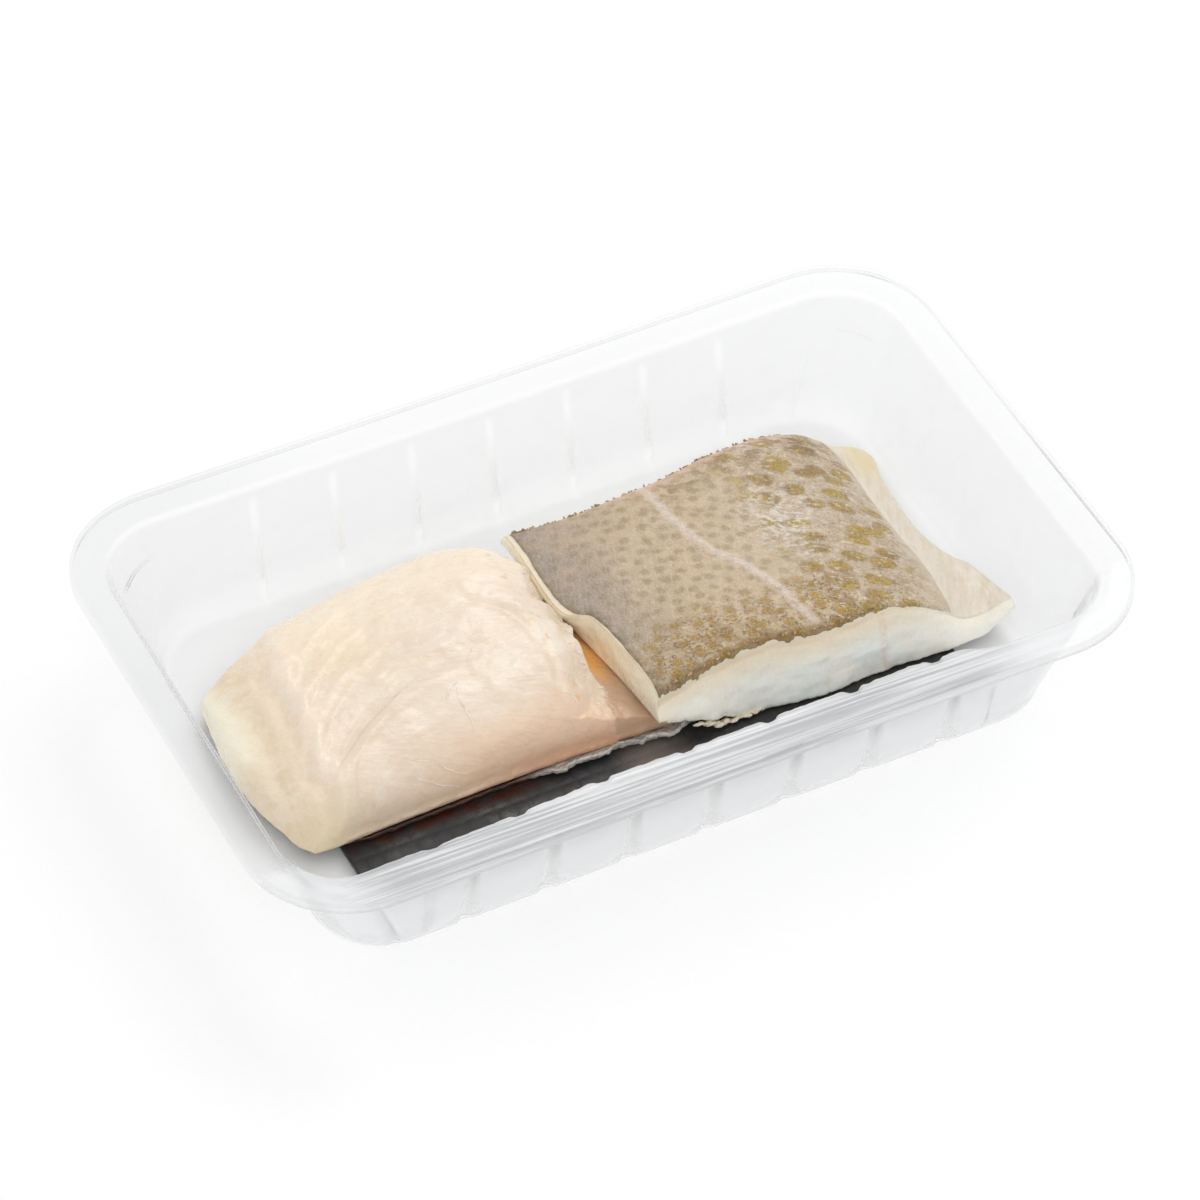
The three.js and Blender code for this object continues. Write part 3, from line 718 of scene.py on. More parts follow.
def plain_floor(colour):
    f = Finish("floor_paper")
    grain = f.noise(0.8)
    f.paint(colour, (grain.rise(0.3, 0.7) * 0.5, (0.95, 0.95, 0.95, 1)))
    return f.opaque(0.9, {
        "Specular IOR Level": 0.1, "Emission Color": (1, 1, 1, 1), "Emission Strength": 0.02,
    })


# ---- tray ----

def fluted_side(x, shift, sizes, dip, half_width, bulge):
    """How far a long wall leans inwards at x: grooves at the flutes, a slight swell between them."""
    pitch, count = sizes.flute_pitch / MM, sizes.flutes
    number = np.round((x - shift) / pitch)
    inside = np.abs(number) <= (count - 1) / 2
    off = np.abs(x - shift - number * pitch)
    groove = np.where(inside, np.clip(1 - off / half_width, 0, 1), 0)
    groove = groove * groove * (3 - 2 * groove)
    mark = np.where(inside, smooth(1.6, 0.3, off), 0)
    phase = (x - shift) / pitch
    swell = np.abs(np.sin(math.pi * phase)) ** 0.5 * (np.abs(phase) < count / 2)
    return dip * groove - bulge * swell * (1 - groove), mark, np.where(inside, off, 9.0)


def front_step(x):
    """The uneven inner edge of the front rim: a step inwards with shallow notches."""
    off = np.abs(x - NOTCH_SHIFT - NOTCH_PITCH * np.round((x - NOTCH_SHIFT) / NOTCH_PITCH))
    edge = 1 - 0.35 * smooth(2.6, 0.8, off)
    edge = edge + 0.10 * patchy(x, 0 * x, 6.0, 71) + 0.05 * patchy(x, 0 * x, 1.8, 72)
    return edge * smooth(70, 60, x) * (1 - 0.35 * smooth(-35, -60, x))


def tray_ring(inset_x, inset_y, radius, z, sizes, dip=0.0, half_width=1.4, bulge=0.0, lug=0.0, step=0.0):
    """One level of the tray: x, y, z and the marks for flutes and for the panels between them."""
    half_x, half_y = TRAY_LENGTH / 2 - inset_x, TRAY_WIDTH / 2 - inset_y
    straight_x, straight_y = half_x - radius, half_y - radius
    to_corner = np.linspace(FLUTED_REACH, straight_x, 12)[1:]
    side = np.concatenate([
        -to_corner[::-1], np.arange(-FLUTED_REACH, FLUTED_REACH + 0.01, 0.5), to_corner,
    ])
    front, front_groove, front_off = fluted_side(side, FLUTE_SHIFT_FRONT, sizes, dip, half_width, bulge)
    back, back_groove, back_off = fluted_side(
        -side, FLUTE_SHIFT_BACK, sizes, 0.25 * dip, 0.6 * half_width, 0.3 * bulge
    )
    front = front + step * front_step(side)
    degrees = np.linspace(0, 90, 26)[1:-1]

    def corner(cx, cy, start, fluted, stepped=0.0):
        reach = radius - stepped * smooth(48, 90, degrees)
        if fluted:
            reach -= dip * np.clip(1 - np.abs(degrees - 75) / 5.5, 0, 1) ** 1.5
        reach -= lug * smooth(14, 22, degrees) * smooth(62, 54, degrees)
        turned = np.radians(start + degrees)
        return np.stack([cx + reach * np.cos(turned), cy + reach * np.sin(turned)], -1)

    short = np.linspace(-straight_y, straight_y, 18)
    x, y = np.concatenate([
        np.stack([side, -half_y + front], -1),
        corner(straight_x, -straight_y, 270, False),
        np.stack([np.full_like(short, half_x), short], -1),
        corner(straight_x, straight_y, 0, True),
        np.stack([-side, half_y - back], -1),
        corner(-straight_x, straight_y, 90, False),
        np.stack([np.full_like(short, -half_x), -short], -1),
        corner(-straight_x, -straight_y, 180, True, step * front_step(side)[0]),
    ]).T
    bow_x, bow_y = BOW_SHORT / (TRAY_LENGTH / 2), BOW_LONG / (TRAY_WIDTH / 2)
    plain = np.zeros(2 * len(degrees) + len(short))
    groove = np.concatenate([front_groove, plain, back_groove, plain]) * min(dip, 1.0)
    drop = min(max(9.5 - z, 0.0), 7.0)
    off = np.concatenate([front_off, plain + 9, back_off, plain + 9])
    off = off - (7 - math.sqrt(49 - drop * drop)) * 0.9
    pillow = smooth(0.9, 2.4, off) * smooth(0.3, 2.4, z) * smooth(31, 29, z)
    return np.stack([
        x * (1 - bow_x * (1 - (2 * y / TRAY_WIDTH) ** 2)),
        y * (1 - bow_y * (1 - (2 * x / TRAY_LENGTH) ** 2)),
        np.full_like(x, z),
        groove,
        pillow,
    ], -1)


def wall_ring(z, offset, sizes):
    rise = np.clip((z - WALL_FOOT_Z) / (TRAY_HEIGHT - LIP_DROP - WALL_FOOT_Z), 0, 1)
    drop = np.clip((WALL_FOOT_Z - z) / WALL_FOOT_Z, 0, 1)
    foot_round = FOOT_ROUND * (1 - math.sqrt(1 - drop * drop))
    flute = np.clip((FLUTE_TOP_Z - z) / (FLUTE_TOP_Z - FLUTE_FOOT_Z), 0, 1)
    fade = smooth(FLUTE_TOP_Z + 0.6, FLUTE_TOP_Z - 1.5, z) * smooth(-0.5, 2.5, z)
    return tray_ring(
        lerp(BASE_INSET_X, WALL_TOP_INSET, rise) + foot_round + offset,
        lerp(BASE_INSET_Y, WALL_TOP_INSET, rise) + foot_round + offset,
        WALL_RADIUS - foot_round - offset,
        z,
        sizes,
        dip=lerp(0.6, sizes.flute_depth / MM, flute ** 1.3) * fade,
        half_width=lerp(1.4, 2.6, flute ** 1.5),
        bulge=1.7 * smooth(0, 8, z) * smooth(27, 16, z),
        lug=1.2 * smooth(23.5, 24.6, z) * smooth(31.6, 30.8, z),
        step=RIM_STEP * smooth(30.2, 32.2, z),
    )


def flange_ring(inset, z, sizes):
    return tray_ring(inset, inset, FLANGE_RADIUS - inset, z, sizes, step=RIM_STEP * smooth(5.5, 8, inset))


def make_tray(sizes, colour):
    """Up the outside of the wall, out under the flange, round its lip, back over it and down inside."""
    top, under, lip_foot = TRAY_HEIGHT, TRAY_HEIGHT - SHEET, TRAY_HEIGHT - LIP_DROP
    width = sizes.flange_width / MM
    flange = [
        (lerp(WALL_TOP_INSET, WALL_TOP_INSET - 0.8, t), lerp(WALL_TOP_Z, under, t)) for t in (0.15, 0.5, 0.85)
    ]
    flange += [(SHEET + 1, under), (SHEET + 0.2, under - 0.3), (SHEET, under - 0.9), (SHEET, lip_foot)]
    flange += [(0, lip_foot), (0, top - LIP_ROUND)]
    for a in np.radians((25, 50, 75)):
        flange.append((LIP_ROUND * (1 - math.cos(a)), top - LIP_ROUND * (1 - math.sin(a))))
    flange += [(1.6, top), (2.6, top - 0.35), (width - 1.6, top - 0.35), (width - 0.7, top - 0.05)]
    flange += [(width - 0.1, top - 0.1), (width + 0.4, top - 0.55)]
    rings = [wall_ring(z, 0, sizes) for z in (0, 0.25, 0.9, 1.8, *WALL_LEVELS)]
    rings += [flange_ring(inset, z, sizes) for inset, z in flange]
    rings += [wall_ring(z, SHEET, sizes) for z in (*WALL_LEVELS[::-1], 2.0, 1.2, 0.8)]
    rings.append(wall_ring(SHEET, SHEET + 1, sizes))
    shell = Shell()
    index = [shell.add(ring[:, :3], flute=ring[:, 3], pillow=ring[:, 4]) for ring in rings]
    shell.cap(index[0], (0, 0, 0), False)
    shell.bands(*index)
    shell.cap(index[-1], (0, 0, SHEET), True)
    return shell.build("clear_tray", clear_plastic(colour))


# ---- pad, as a rule in Geometry Nodes ----

class Rule(Graph):
    """A Geometry Nodes tree with named inputs."""

    def __init__(self, name, inputs):
        super().__init__(bpy.data.node_groups.new(name, "GeometryNodeTree"))
        panel = self.tree.interface
        self.identifiers = {}
        for label, default in inputs.items():
            socket = panel.new_socket(label, in_out="INPUT", socket_type="NodeSocketFloat")
            socket.default_value = default
            self.identifiers[label] = socket.identifier
        panel.new_socket("Result", in_out="OUTPUT", socket_type="NodeSocketGeometry")
        self.given = self.tree.nodes.new("NodeGroupInput")

    def inputs(self):
        return [Field(self, self.given.outputs[label]) for label in self.identifiers]

    def step(self, kind, sockets=None):
        return self.out("GeometryNode" + kind, sockets)

    def finish(self, geometry, material):
        smoothed = self.step("SetShadeSmooth", {"Geometry": geometry})
        painted = self.step("SetMaterial", {"Geometry": smoothed, "Material": material})
        out = self.tree.nodes.new("NodeGroupOutput")
        self.tree.links.new(painted.socket, out.inputs[0])

    def bake(self, name, values):
        """The rule's result as a plain mesh in a new object."""
        holder = shown(name + "_rule", bpy.data.meshes.new(name))
        modifier = holder.modifiers.new("rule", "NODES")
        modifier.node_group = self.tree
        for label, value in values.items():
            modifier[self.identifiers[label]] = value
        graph = bpy.context.evaluated_depsgraph_get()
        made = bpy.data.meshes.new_from_object(holder.evaluated_get(graph))
        made.name = name
        bpy.data.objects.remove(holder, do_unlink=True)
        return shown(name, made)


def make_pad(sizes, material):
    """A slab whose top is pressed into shallow cells, with low creases."""
    values = {
        "Length": (PAD_RIGHT - PAD_LEFT) * MM,
        "Width": (PAD_BACK - PAD_FRONT) * MM,
        "Thickness": PAD_THICKNESS * MM,
        "Cell": sizes.pad_cell,
        "Depth": sizes.pad_press,
    }
    rule = Rule("pad_rule", values)
    length, width, thickness, cell, depth = rule.inputs()
    grid = rule.step("MeshGrid", {"Size X": length, "Size Y": width, "Vertices X": 313, "Vertices Y": 149})
    place = rule.step("InputPosition")
    axes = rule.node("SeparateXYZ", {0: place}).outputs
    waves = [rule.maths("SINE", Field(rule, axes[k]) * math.pi / cell) for k in (0, 1)]
    press = rule.maths("ABSOLUTE", waves[0] * waves[1]) ** 0.6
    creases = rule.out("TexNoise", {"Vector": place, "Scale": 70, "Detail": 2})
    offset = rule.out("CombineXYZ", {2: (press - 1 + (creases - 0.75) * 1.2) * depth})
    lift = rule.out("CombineXYZ", {2: thickness})
    raised, raised_top = [Field(rule, socket) for socket in rule.node("GeometryNodeExtrudeMesh", {
        "Mesh": grid, "Offset": lift, "Offset Scale": 1, "Individual": False,
    }).outputs[:2]]
    pressed = rule.step("SetPosition", {"Geometry": raised, "Selection": raised_top, "Offset": offset})
    under = rule.step("FlipFaces", {"Mesh": grid})
    joined = rule.node("GeometryNodeJoinGeometry", {0: under})
    rule.tree.links.new(pressed.socket, joined.inputs[0])
    whole = Field(rule, joined.outputs[0])
    merged = rule.step("MergeByDistance", {"Geometry": whole, "Distance": 0.00002})
    middle = ((PAD_LEFT + PAD_RIGHT) / 2 * MM, (PAD_FRONT + PAD_BACK) / 2 * MM, (SHEET + GAP) * MM)
    rule.finish(rule.step("Transform", {"Geometry": merged, "Translation": middle}), material)
    return rule.bake("damp_pad", values)


# ---- the piece that lies flesh up ----

def flake_level(x, y):
    """Muscle flakes nest in quarter ovals that rise from the front left corner."""
    low, high = np.full(np.shape(x), 0.5), np.full(np.shape(x), 90.0)
    for _ in range(18):
        b = (low + high) / 2
        a = np.where(x < -38, 43 - 0.33 * np.maximum(41.6 - b, -20), 46 + 0.2 * b)
        inside = ((x + 38) / a) ** 2 + (np.maximum(y + 25, 0) / b) ** 2 < 1
        low, high = np.where(inside, low, b), np.where(inside, b, high)
    return low


def ragged_end(y):
    line = -8.4 + 0.7 * np.sin(y * 0.33) + 0.4 * np.sin(y * 0.81 + 1)
    return line + 0.8 * smooth(10, -20, y) + 0.9 * smooth(-6, 6, y)


def flap_top(x):
    return 4.8 + 0.3 * (14 - x)


def rounded_corner(place):
    """Draws the left edge in near the front, and blunts the front left corner."""
    x, y = place[..., 0], place[..., 1]
    inward = 2.4 * smooth(-80, -90, x) * hill(y, -17, 8)
    blunt = 0.6 * (1 - smooth(0, 6, np.hypot(x + 87, y + 26)))
    return place + np.stack([inward + blunt, blunt], -1)


def flesh_up_height(x, y, u, v, sizes):
    """Height of the upper side, and the marks of its flakes, its fold and its seams."""
    fold, along = line_distance(x, y, FOLD_LINE)
    fold = np.where(x < curve_at(FOLD_LINE, along)[..., 0], -fold, fold)
    bent = fold + 1.3 * patchy(x, y, 6, 14)
    crease = (1 + patchy(x, y, 7, 4)) * hill(bent, 0.5, 2.3)
    crease = crease - (0.5 + 0.5 * patchy(x, y, 8, 15)) * hill(bent, 5, 3)
    level = flake_level(x, y) + 0.9 * patchy(x, y, 14, 11)
    phase = level / (sizes.flake_spacing / MM) - 0.1
    saw = phase - np.floor(phase)
    strength = 0.75 + 0.5 * patchy(x, y, 22, 5)
    beside_fold = smooth(-1, 4, fold)
    flakes = 0.42 * smooth(0, 0.22, saw) * (1 - smooth(0.22, 1, saw)) * strength * beside_fold
    flakes = flakes * smooth(-22, -50, x)
    fibres = 0.07 * patchy(level, x * 0.35, 1.6, 8, 2)
    lumps = 0.85 * patchy(x, y, 24, 6) + 0.45 * patchy(x, y, 9, 7) + 0.12 * patchy(x, y, 3.2, 9)
    arc = (0.55 + 0.3 * patchy(x, y, 6, 10)) * hill(line_distance(x, y, END_ARC)[0], 0, 1.5)
    above = line_distance(x, y, SWEEP)[0]
    above = np.where(y > curve_at(SWEEP, np.clip((x + 84) / 54, 0, 1))[..., 1], above, -above)
    sweep = 0.34 * hill(above, 0, 2.2) - 0.75 * hill(above, -5, 3.2)
    sweep = sweep * smooth(-84, -76, x) * smooth(-32, -48, x)
    crown = 21 + 1.5 * np.sin(math.pi * np.clip(v, 0, 1))
    crown = crown - 4 * smooth(-20, -75, x) - 1.6 * smooth(-18, -10, x)
    crown = crown - 6.5 * smooth(5, -7, fold)
    edge = FISH_BOTTOM + SKIN + GAP + 2.2
    rise = rounded(u * 85, 13) * rounded(v * 70, 20) * rounded((1 - v) * 70, 18)
    relief = flakes + fibres + lumps - crease - arc - sweep
    height = edge + (crown - edge) * rise + relief * smooth(0, 0.6, rise)
    slump = 7.5 * smooth(-20, -7, x) * smooth(-3, -15, y)
    height = np.maximum(height - slump, np.minimum(height, flap_top(x) + 0.5 * patchy(x, y, 3, 12)))
    seam = hill(saw, 0.04, 0.1) * strength * beside_fold * smooth(-15, -55, x) + 1.2 * arc
    return height, {"flake": level, "fold": fold, "seam": np.clip(seam, 0, 1)}


def make_flesh_up(sizes, material):
    """A body out to its ragged right end, then a low flap, with bulging sides."""
    bottom = FISH_BOTTOM + SKIN + GAP
    columns, flap_columns, rows = 216, 34, 200
    v_line = steps(rows, 0.6)
    end_y = patch_at(FLESH_UP_EDGES, np.full_like(v_line, 0.9), v_line)[..., 1]
    end_x = ragged_end(end_y) + 0.45 * patchy(end_y, 0 * end_y, 4.2, 21)
    end = np.minimum(share_at(FLESH_UP_EDGES, end_x, v_line), 0.97)
    i = np.arange(columns + flap_columns + 1)[:, None]
    beyond = (i - columns) / flap_columns
    inner = np.minimum(i / columns, 1)
    share = lerp(inner, np.sin(math.pi / 2 * inner) ** 1.3, 0.4)
    u = np.where(beyond <= 0, end * share, lerp(end, 1, np.clip(beyond, 0, 1) ** 1.5))
    v = np.broadcast_to(v_line, u.shape)
    place = rounded_corner(patch_at(FLESH_UP_EDGES, u, v))
    x, y = place[..., 0], place[..., 1]
    full, marks = flesh_up_height(x, y, u, v, sizes)
    to_end = (end - u) * 90
    torn = smooth(7, 0, to_end) * (beyond <= 0)
    tucked = smooth(5, 0, to_end) * smooth(-5, 4, y)
    full = full + torn * (0.65 * patchy(x, y, 3.2, 22) - 1.3) - 3 * tucked
    flap = np.minimum(full, flap_top(x) - 0.6 * smooth(8, 14, x) + 0.25 * patchy(x, y, 4, 23))
    z = np.maximum(np.where(beyond > 0, flap, full), bottom + 0.8)
    shell = Shell()
    top = shell.add(np.stack([x, y, z], -1), fibre=x * 0.3 + y * 0.9, flap=smooth(0, 0.06, beyond), **marks)
    ring = border(top)
    points = shell.blocks[0][0][ring]
    ring_marks = {k: value[ring] for k, value in shell.blocks[0][1].items()}
    outward = points[:, :2] - FLESH_UP_CENTRE
    outward /= np.linalg.norm(outward, axis=1)[:, None]
    levels = []
    for height in (0, 0.2, 0.4, 0.6, 0.8):
        rough = patchy(points[:, 0], points[:, 1] + 9 * height, 2.4, 25)
        bulge = 0.5 * math.sin(math.pi * height) + 0.25 * rough
        bulge = bulge * (height > 0) * smooth(14, 9, points[:, 0])
        spread = points[:, :2] + outward * bulge[:, None]
        side = np.concatenate([spread, lerp(bottom, points[:, 2:], height)], 1)
        levels.append(shell.add(side, **ring_marks))
    shell.sheet(top)
    shell.bands(*levels, ring)
    shell.cap(levels[0], (*FLESH_UP_CENTRE, bottom), False)
    return shell.build("soft_flesh_piece", material)


def make_flesh_up_skin(material):
    """The skin under the first piece: its edge curls and tears along the front."""
    t = np.arange(360) / 360
    outline = rounded_corner(np.concatenate([
        patch_at(FLESH_UP_EDGES, t, 0 * t), patch_at(FLESH_UP_EDGES, 0 * t + 1, t),
        patch_at(FLESH_UP_EDGES, 1 - t, 0 * t + 1), patch_at(FLESH_UP_EDGES, 0 * t, 1 - t),
    ]))
    outward = outline - FLESH_UP_CENTRE
    inset = 1.5 * smooth(-72, -80, outline[:, :1])
    x, y = (outline - outward / np.linalg.norm(outward, axis=1)[:, None] * inset).T
    front = smooth(-8, -20, y) * smooth(-80, -70, x)
    tear = smooth(-34, -20, x) * smooth(15, 8, x) * front
    rag = patchy(x, y, 3, 31, 3)
    out = front * (0.9 + 0.35 * rag) + tear * (1.5 + rag)
    curl = tear * (1.9 + 0.9 * patchy(x, y, 4.2, 32) + 0.5 * patchy(x, y, 1.3, 33))
    shell = Shell()
    rings = []
    for reach, height in ((0, 0), (0.7, 0), (0.95, 0.2), (1, 0.6), (0.9, 1.2), (0.6, 1.3), (0, 1)):
        lift = curl * reach ** 2 * (0.25 + 0.75 * min(height, 1))
        rings.append(shell.add(np.stack([x, y - out * reach, FISH_BOTTOM + SKIN * height + lift], -1)))
    shell.cap(rings[0], (*FLESH_UP_CENTRE, FISH_BOTTOM), False)
    shell.bands(*rings)
    shell.cap(rings[-1], (*FLESH_UP_CENTRE, FISH_BOTTOM + SKIN), True)
    return shell.build("lower_skin_edge", material)


# ---- the piece that lies skin up ----

def profile_height(x):
    t = np.clip((x + 8) / 103, 0, 1)
    for _ in range(6):
        t = np.clip(t + (x - curve_at(SKIN_UP_PROFILE, t)[..., 0]) / 103, 0, 1)
    return curve_at(SKIN_UP_PROFILE, t)[..., 1]


def skin_up_bottom(x):
    return np.maximum(FISH_BOTTOM + 0.62 * np.maximum(0, x - 87), np.where(x < 22, flap_top(x) + 2 * GAP, 0))


def skin_up_height(x, y, v):
    """Height of the skin's upper side, lower towards the front and the back."""
    front = (2.6 + 2.6 * smooth(62, 40, x) + 3 * smooth(25, 0, x)) * (1 - rounded(v * SKIN_UP_WIDTH, 17))
    back = lerp(2.6, 8.4, smooth(-8, 26, x)) * (1 - rounded((1 - v) * SKIN_UP_WIDTH, 14))
    height = profile_height(x) - front * smooth(95, 72, x) - back * smooth(92, 74, x)
    height = height - 1.5 * smooth(8, -8, x) + 0.35 * np.sin(x * 0.21 + 0.6) * np.sin(y * 0.17)
    return np.maximum(height, skin_up_bottom(x) + 2.6)


def skin_end(v):
    return 0.835 + 0.07 * np.sin(math.pi * v) + 0.02 * v


def skin_limits(u, v):
    """Where the skin starts and stops on the piece: left share of u, front and back shares of v."""
    x, y = u * SKIN_UP_LENGTH, v * SKIN_UP_WIDTH
    left = 0.9 + 1.5 * smooth(0.45, 0.6, v) + 0.4 * patchy(y, 0 * v, 5, 54) + 0.22 * patchy(y, 0 * v, 1.5, 55)
    front = 0.35 + 0.35 * patchy(x, 0 * u, 3, 56) + 0.2 * patchy(x, 0 * u, 1, 57)
    back = 0.3 + 0.3 * patchy(x, 0 * u, 2.4, 58)
    return [
        np.maximum(reach / size, 0)
        for reach, size in ((left, SKIN_UP_LENGTH), (front, SKIN_UP_WIDTH), (back, SKIN_UP_WIDTH))
    ]


def make_skin_up_flesh(material):
    """The flesh under the skin, its bulging cut faces and the thin flap at the right."""
    columns, flap_columns, rows = 190, 60, 140
    v_line = steps(rows, 0.75)
    end = skin_end(v_line)
    i = np.arange(columns + flap_columns + 1)[:, None]
    beyond = np.clip((i - columns) / flap_columns, 0, 1)
    u = np.where(i <= columns, end * np.minimum(i / columns, 1) ** 1.25, lerp(end, 1, beyond))
    v = np.broadcast_to(v_line, u.shape)
    place = patch_at(SKIN_UP_TOP_EDGES, u, v)
    x, y = place[..., 0], place[..., 1]
    left, front, back = skin_limits(u, v)
    from_side = np.minimum(v - front, 1 - back - v) * SKIN_UP_WIDTH
    cover = smooth(-0.25, 0.2, np.minimum((u - left) * SKIN_UP_LENGTH, from_side))
    cover = cover * (1 - smooth(0, 0.06, beyond))
    z = skin_up_height(x, y, v) - (SKIN - 0.05) * cover
    z = z - lerp(0.75 * SKIN, 0.12, smooth(0.1, 0.5, beyond)) * (1 - cover)
    z = z + smooth(0.02, 0.25, beyond) * (0.3 * patchy(x * 0.5, y, 6, 41) + 0.06 * patchy(x, y, 1.8, 42))
    z = z + 0.7 * hill(beyond, 0.12, 0.09) * smooth(0.25, 0.5, v)
    z = z - 0.9 * smooth(0.7, 1, beyond) * smooth(70, 90, x)
    shell = Shell()
    top = shell.add(np.stack([x, y, z], -1), rise=1)
    ring = border(top)
    points = shell.blocks[0][0][ring]
    ru, rv = u.ravel()[ring], v.ravel()[ring]
    foot = patch_at(SKIN_UP_FOOT_EDGES, ru, rv)
    fx, fy = foot.T
    low = np.column_stack([foot, skin_up_bottom(fx)])
    front_side, left_side = -1 * (rv == 0), -1 * (ru == 0)
    levels = []
    for share in (0, 0.03, 0.07, 0.12, 0.18, 0.25, 0.32, 0.4, 0.48, 0.56, 0.64, 0.72, 0.8, 0.87, 0.93, 0.975):
        swell = math.sin(math.pi * min(share * 1.03, 1)) ** 0.6 if share else 0
        waves = 0.45 * patchy(fx * 0.35, fy * 0.35 + 2.2 * share, 6, 44)
        waves = waves + 0.07 * patchy(fx, fy + 1.5 * share, 2.6, 43)
        bulge = swell * (0.9 + waves)
        ragged = (0.3 + 0.5 * smooth(26, 20, fx)) * patchy(fx, fy, 2.2, 45) * smooth(0.25, 0, share)
        side = lerp(low, points, share)
        side[:, 0] += left_side * bulge * (0.35 + 1.5 * smooth(0.4, 0.55, rv))
        side[:, 1] += front_side * (bulge + ragged)
        levels.append(shell.add(side, rise=share, side=1))
    shell.sheet(top)
    shell.bands(*levels, ring)
    inner = lerp(np.array(SKIN_UP_CENTRE), foot, 0.8)
    inner_ring = shell.add(np.column_stack([inner, skin_up_bottom(inner[:, 0])]))
    shell.bands(inner_ring, levels[0])
    shell.cap(inner_ring, (*SKIN_UP_CENTRE, FISH_BOTTOM), False)
    return shell.build("cut_flesh_piece", material)


def make_skin_up_skin(material):
    """The skin on the second piece, thin at its rims, with its raised lateral line."""
    columns, rows = 230, 190
    s, t = np.meshgrid(np.arange(columns + 1) / columns, steps(rows, 0.6), indexing="ij")
    left_share, front_share, back_share = skin_limits(s * 0.88, t)
    v = lerp(front_share, 1 - back_share, t)
    u = lerp(left_share, skin_end(v), s)
    place = patch_at(SKIN_UP_TOP_EDGES, u, v)
    x, y = place[..., 0], place[..., 1]
    line = line_distance(x, y, LATERAL_LINE)[0]
    z = skin_up_height(x, y, v) + 0.2 * hill(line, 0, 1.1)
    z = z + 0.22 * patchy(x, y, 4.2, 51) + 0.1 * patchy(x, y, 1.4, 52)
    front, back = (v - front_share) * SKIN_UP_WIDTH, (1 - back_share - v) * SKIN_UP_WIDTH
    left, right = (u - left_share) * SKIN_UP_LENGTH, (skin_end(v) - u) * SKIN_UP_LENGTH
    rim = np.minimum(np.minimum(front, back), left)
    thick = (SKIN - 0.1) * rounded(rim, 0.9) * lerp(0.2, 1, rounded(right, 4))
    marks = {"line": line, "front": front, "back": back, "left": left, "right": right}
    shell = Shell()
    lower = shell.add(np.stack([x, y, z - SKIN], -1), **marks)
    upper = shell.add(np.stack([x, y, z - SKIN + 0.1 + thick], -1), **marks)
    shell.sheet(lower, False)
    shell.bands(border(lower), border(upper))
    shell.sheet(upper, True)
    return shell.build("scaled_skin", material)


# ---- small pieces ----

THREADS = (
    ([(-53.5, -21), (-51.5, -22.4), (-49.6, -23.4), (-46, -24)], 0.26),
    ([(-59, -22.6), (-54, -24), (-49, -24.7)], 0.22),
    ([(-42.6, -19), (-41.7, -15.7), (-42, -11), (-41, -6)], 0.3),
    ([(-44.6, -9.5), (-43.0, -7.0), (-40.4, -6.2)], 0.34),
    ([(-60, -18.5), (-57, -20), (-54.5, -20.6)], 0.16),
    ([(-36, -2), (-33.4, 1.4), (-30.2, 3.2)], 0.16),
    ([(-19.4, -17.5), (-17.3, -18.6), (-16.2, -20.4)], 0.3),
    ([(-14.5, -11.5), (-13.2, -13.6), (-12.6, -15.8)], 0.34),
    ([(-15.6, 6.5), (-14.1, 4.6), (-13.5, 2.4)], 0.26),
)


def level_way(x, y, t, turn):
    """Points at the distances t from x, y, in the direction turn."""
    return np.stack([x + t * math.cos(turn), y + t * math.sin(turn)], -1)


def make_threads(flesh, material):
    """White threads and membrane shreds that lie on the first piece and hang from its cut end."""
    shell = Shell()
    for points, radius in THREADS:
        way, radius = curve_at(points, np.linspace(0, 1, 22)), 0.55 * radius
        way = way + 0.16 * np.stack([patchy(way[:, 0], way[:, 1], 1.3, seed) for seed in (61, 62)], -1)
        placed = resting_on(flesh, way, radius * 0.35)
        tube(shell, placed, radius * np.sin(np.linspace(0.25, math.pi - 0.2, len(way))) ** 0.7)
    rng = np.random.default_rng(17)
    for y in np.linspace(-22, 29, 30):
        x = float(ragged_end(y)) - rng.uniform(0.6, 3.4)
        turn, length, radius = rng.uniform(-0.9, 0.6), rng.uniform(1, 2.8), rng.uniform(0.12, 0.28)
        placed = resting_on(flesh, level_way(x, y, np.linspace(0, length, 7), turn), radius * 0.2)
        tube(shell, placed, radius * np.sin(np.linspace(0.35, math.pi - 0.25, 7)))
    return shell.build("pale_threads", material)


def make_frays(skin, material):
    """Frayed shreds of skin that stand up from its back edge and hang over its front edge."""
    shell = Shell()
    rng = np.random.default_rng(31)
    count, back_count = 240, 150
    at_back = np.arange(count) < back_count
    u = np.where(at_back, rng.uniform(0.02, 0.80, count), rng.uniform(0.03, 0.66, count))
    feet = resting_on(skin, patch_at(SKIN_UP_TOP_EDGES, u, np.where(at_back, 0.978, 0.02)), -0.15)
    for (x, y, z), behind in zip(feet, at_back):
        length, turn, lift = rng.uniform(0.3, 1), rng.uniform(0.2, 2.9), rng.uniform(0, 0.4)
        t = np.linspace(0, length, 6)
        way = level_way(x, y, t, turn if behind else -turn)
        way = np.column_stack([way, z + lift * t * (1 if behind else 0.2)])
        tube(shell, way, rng.uniform(0.22, 0.48) * np.sin(np.linspace(0.5, math.pi - 0.45, 6)), 5)
    return shell.build("skin_frays", material)


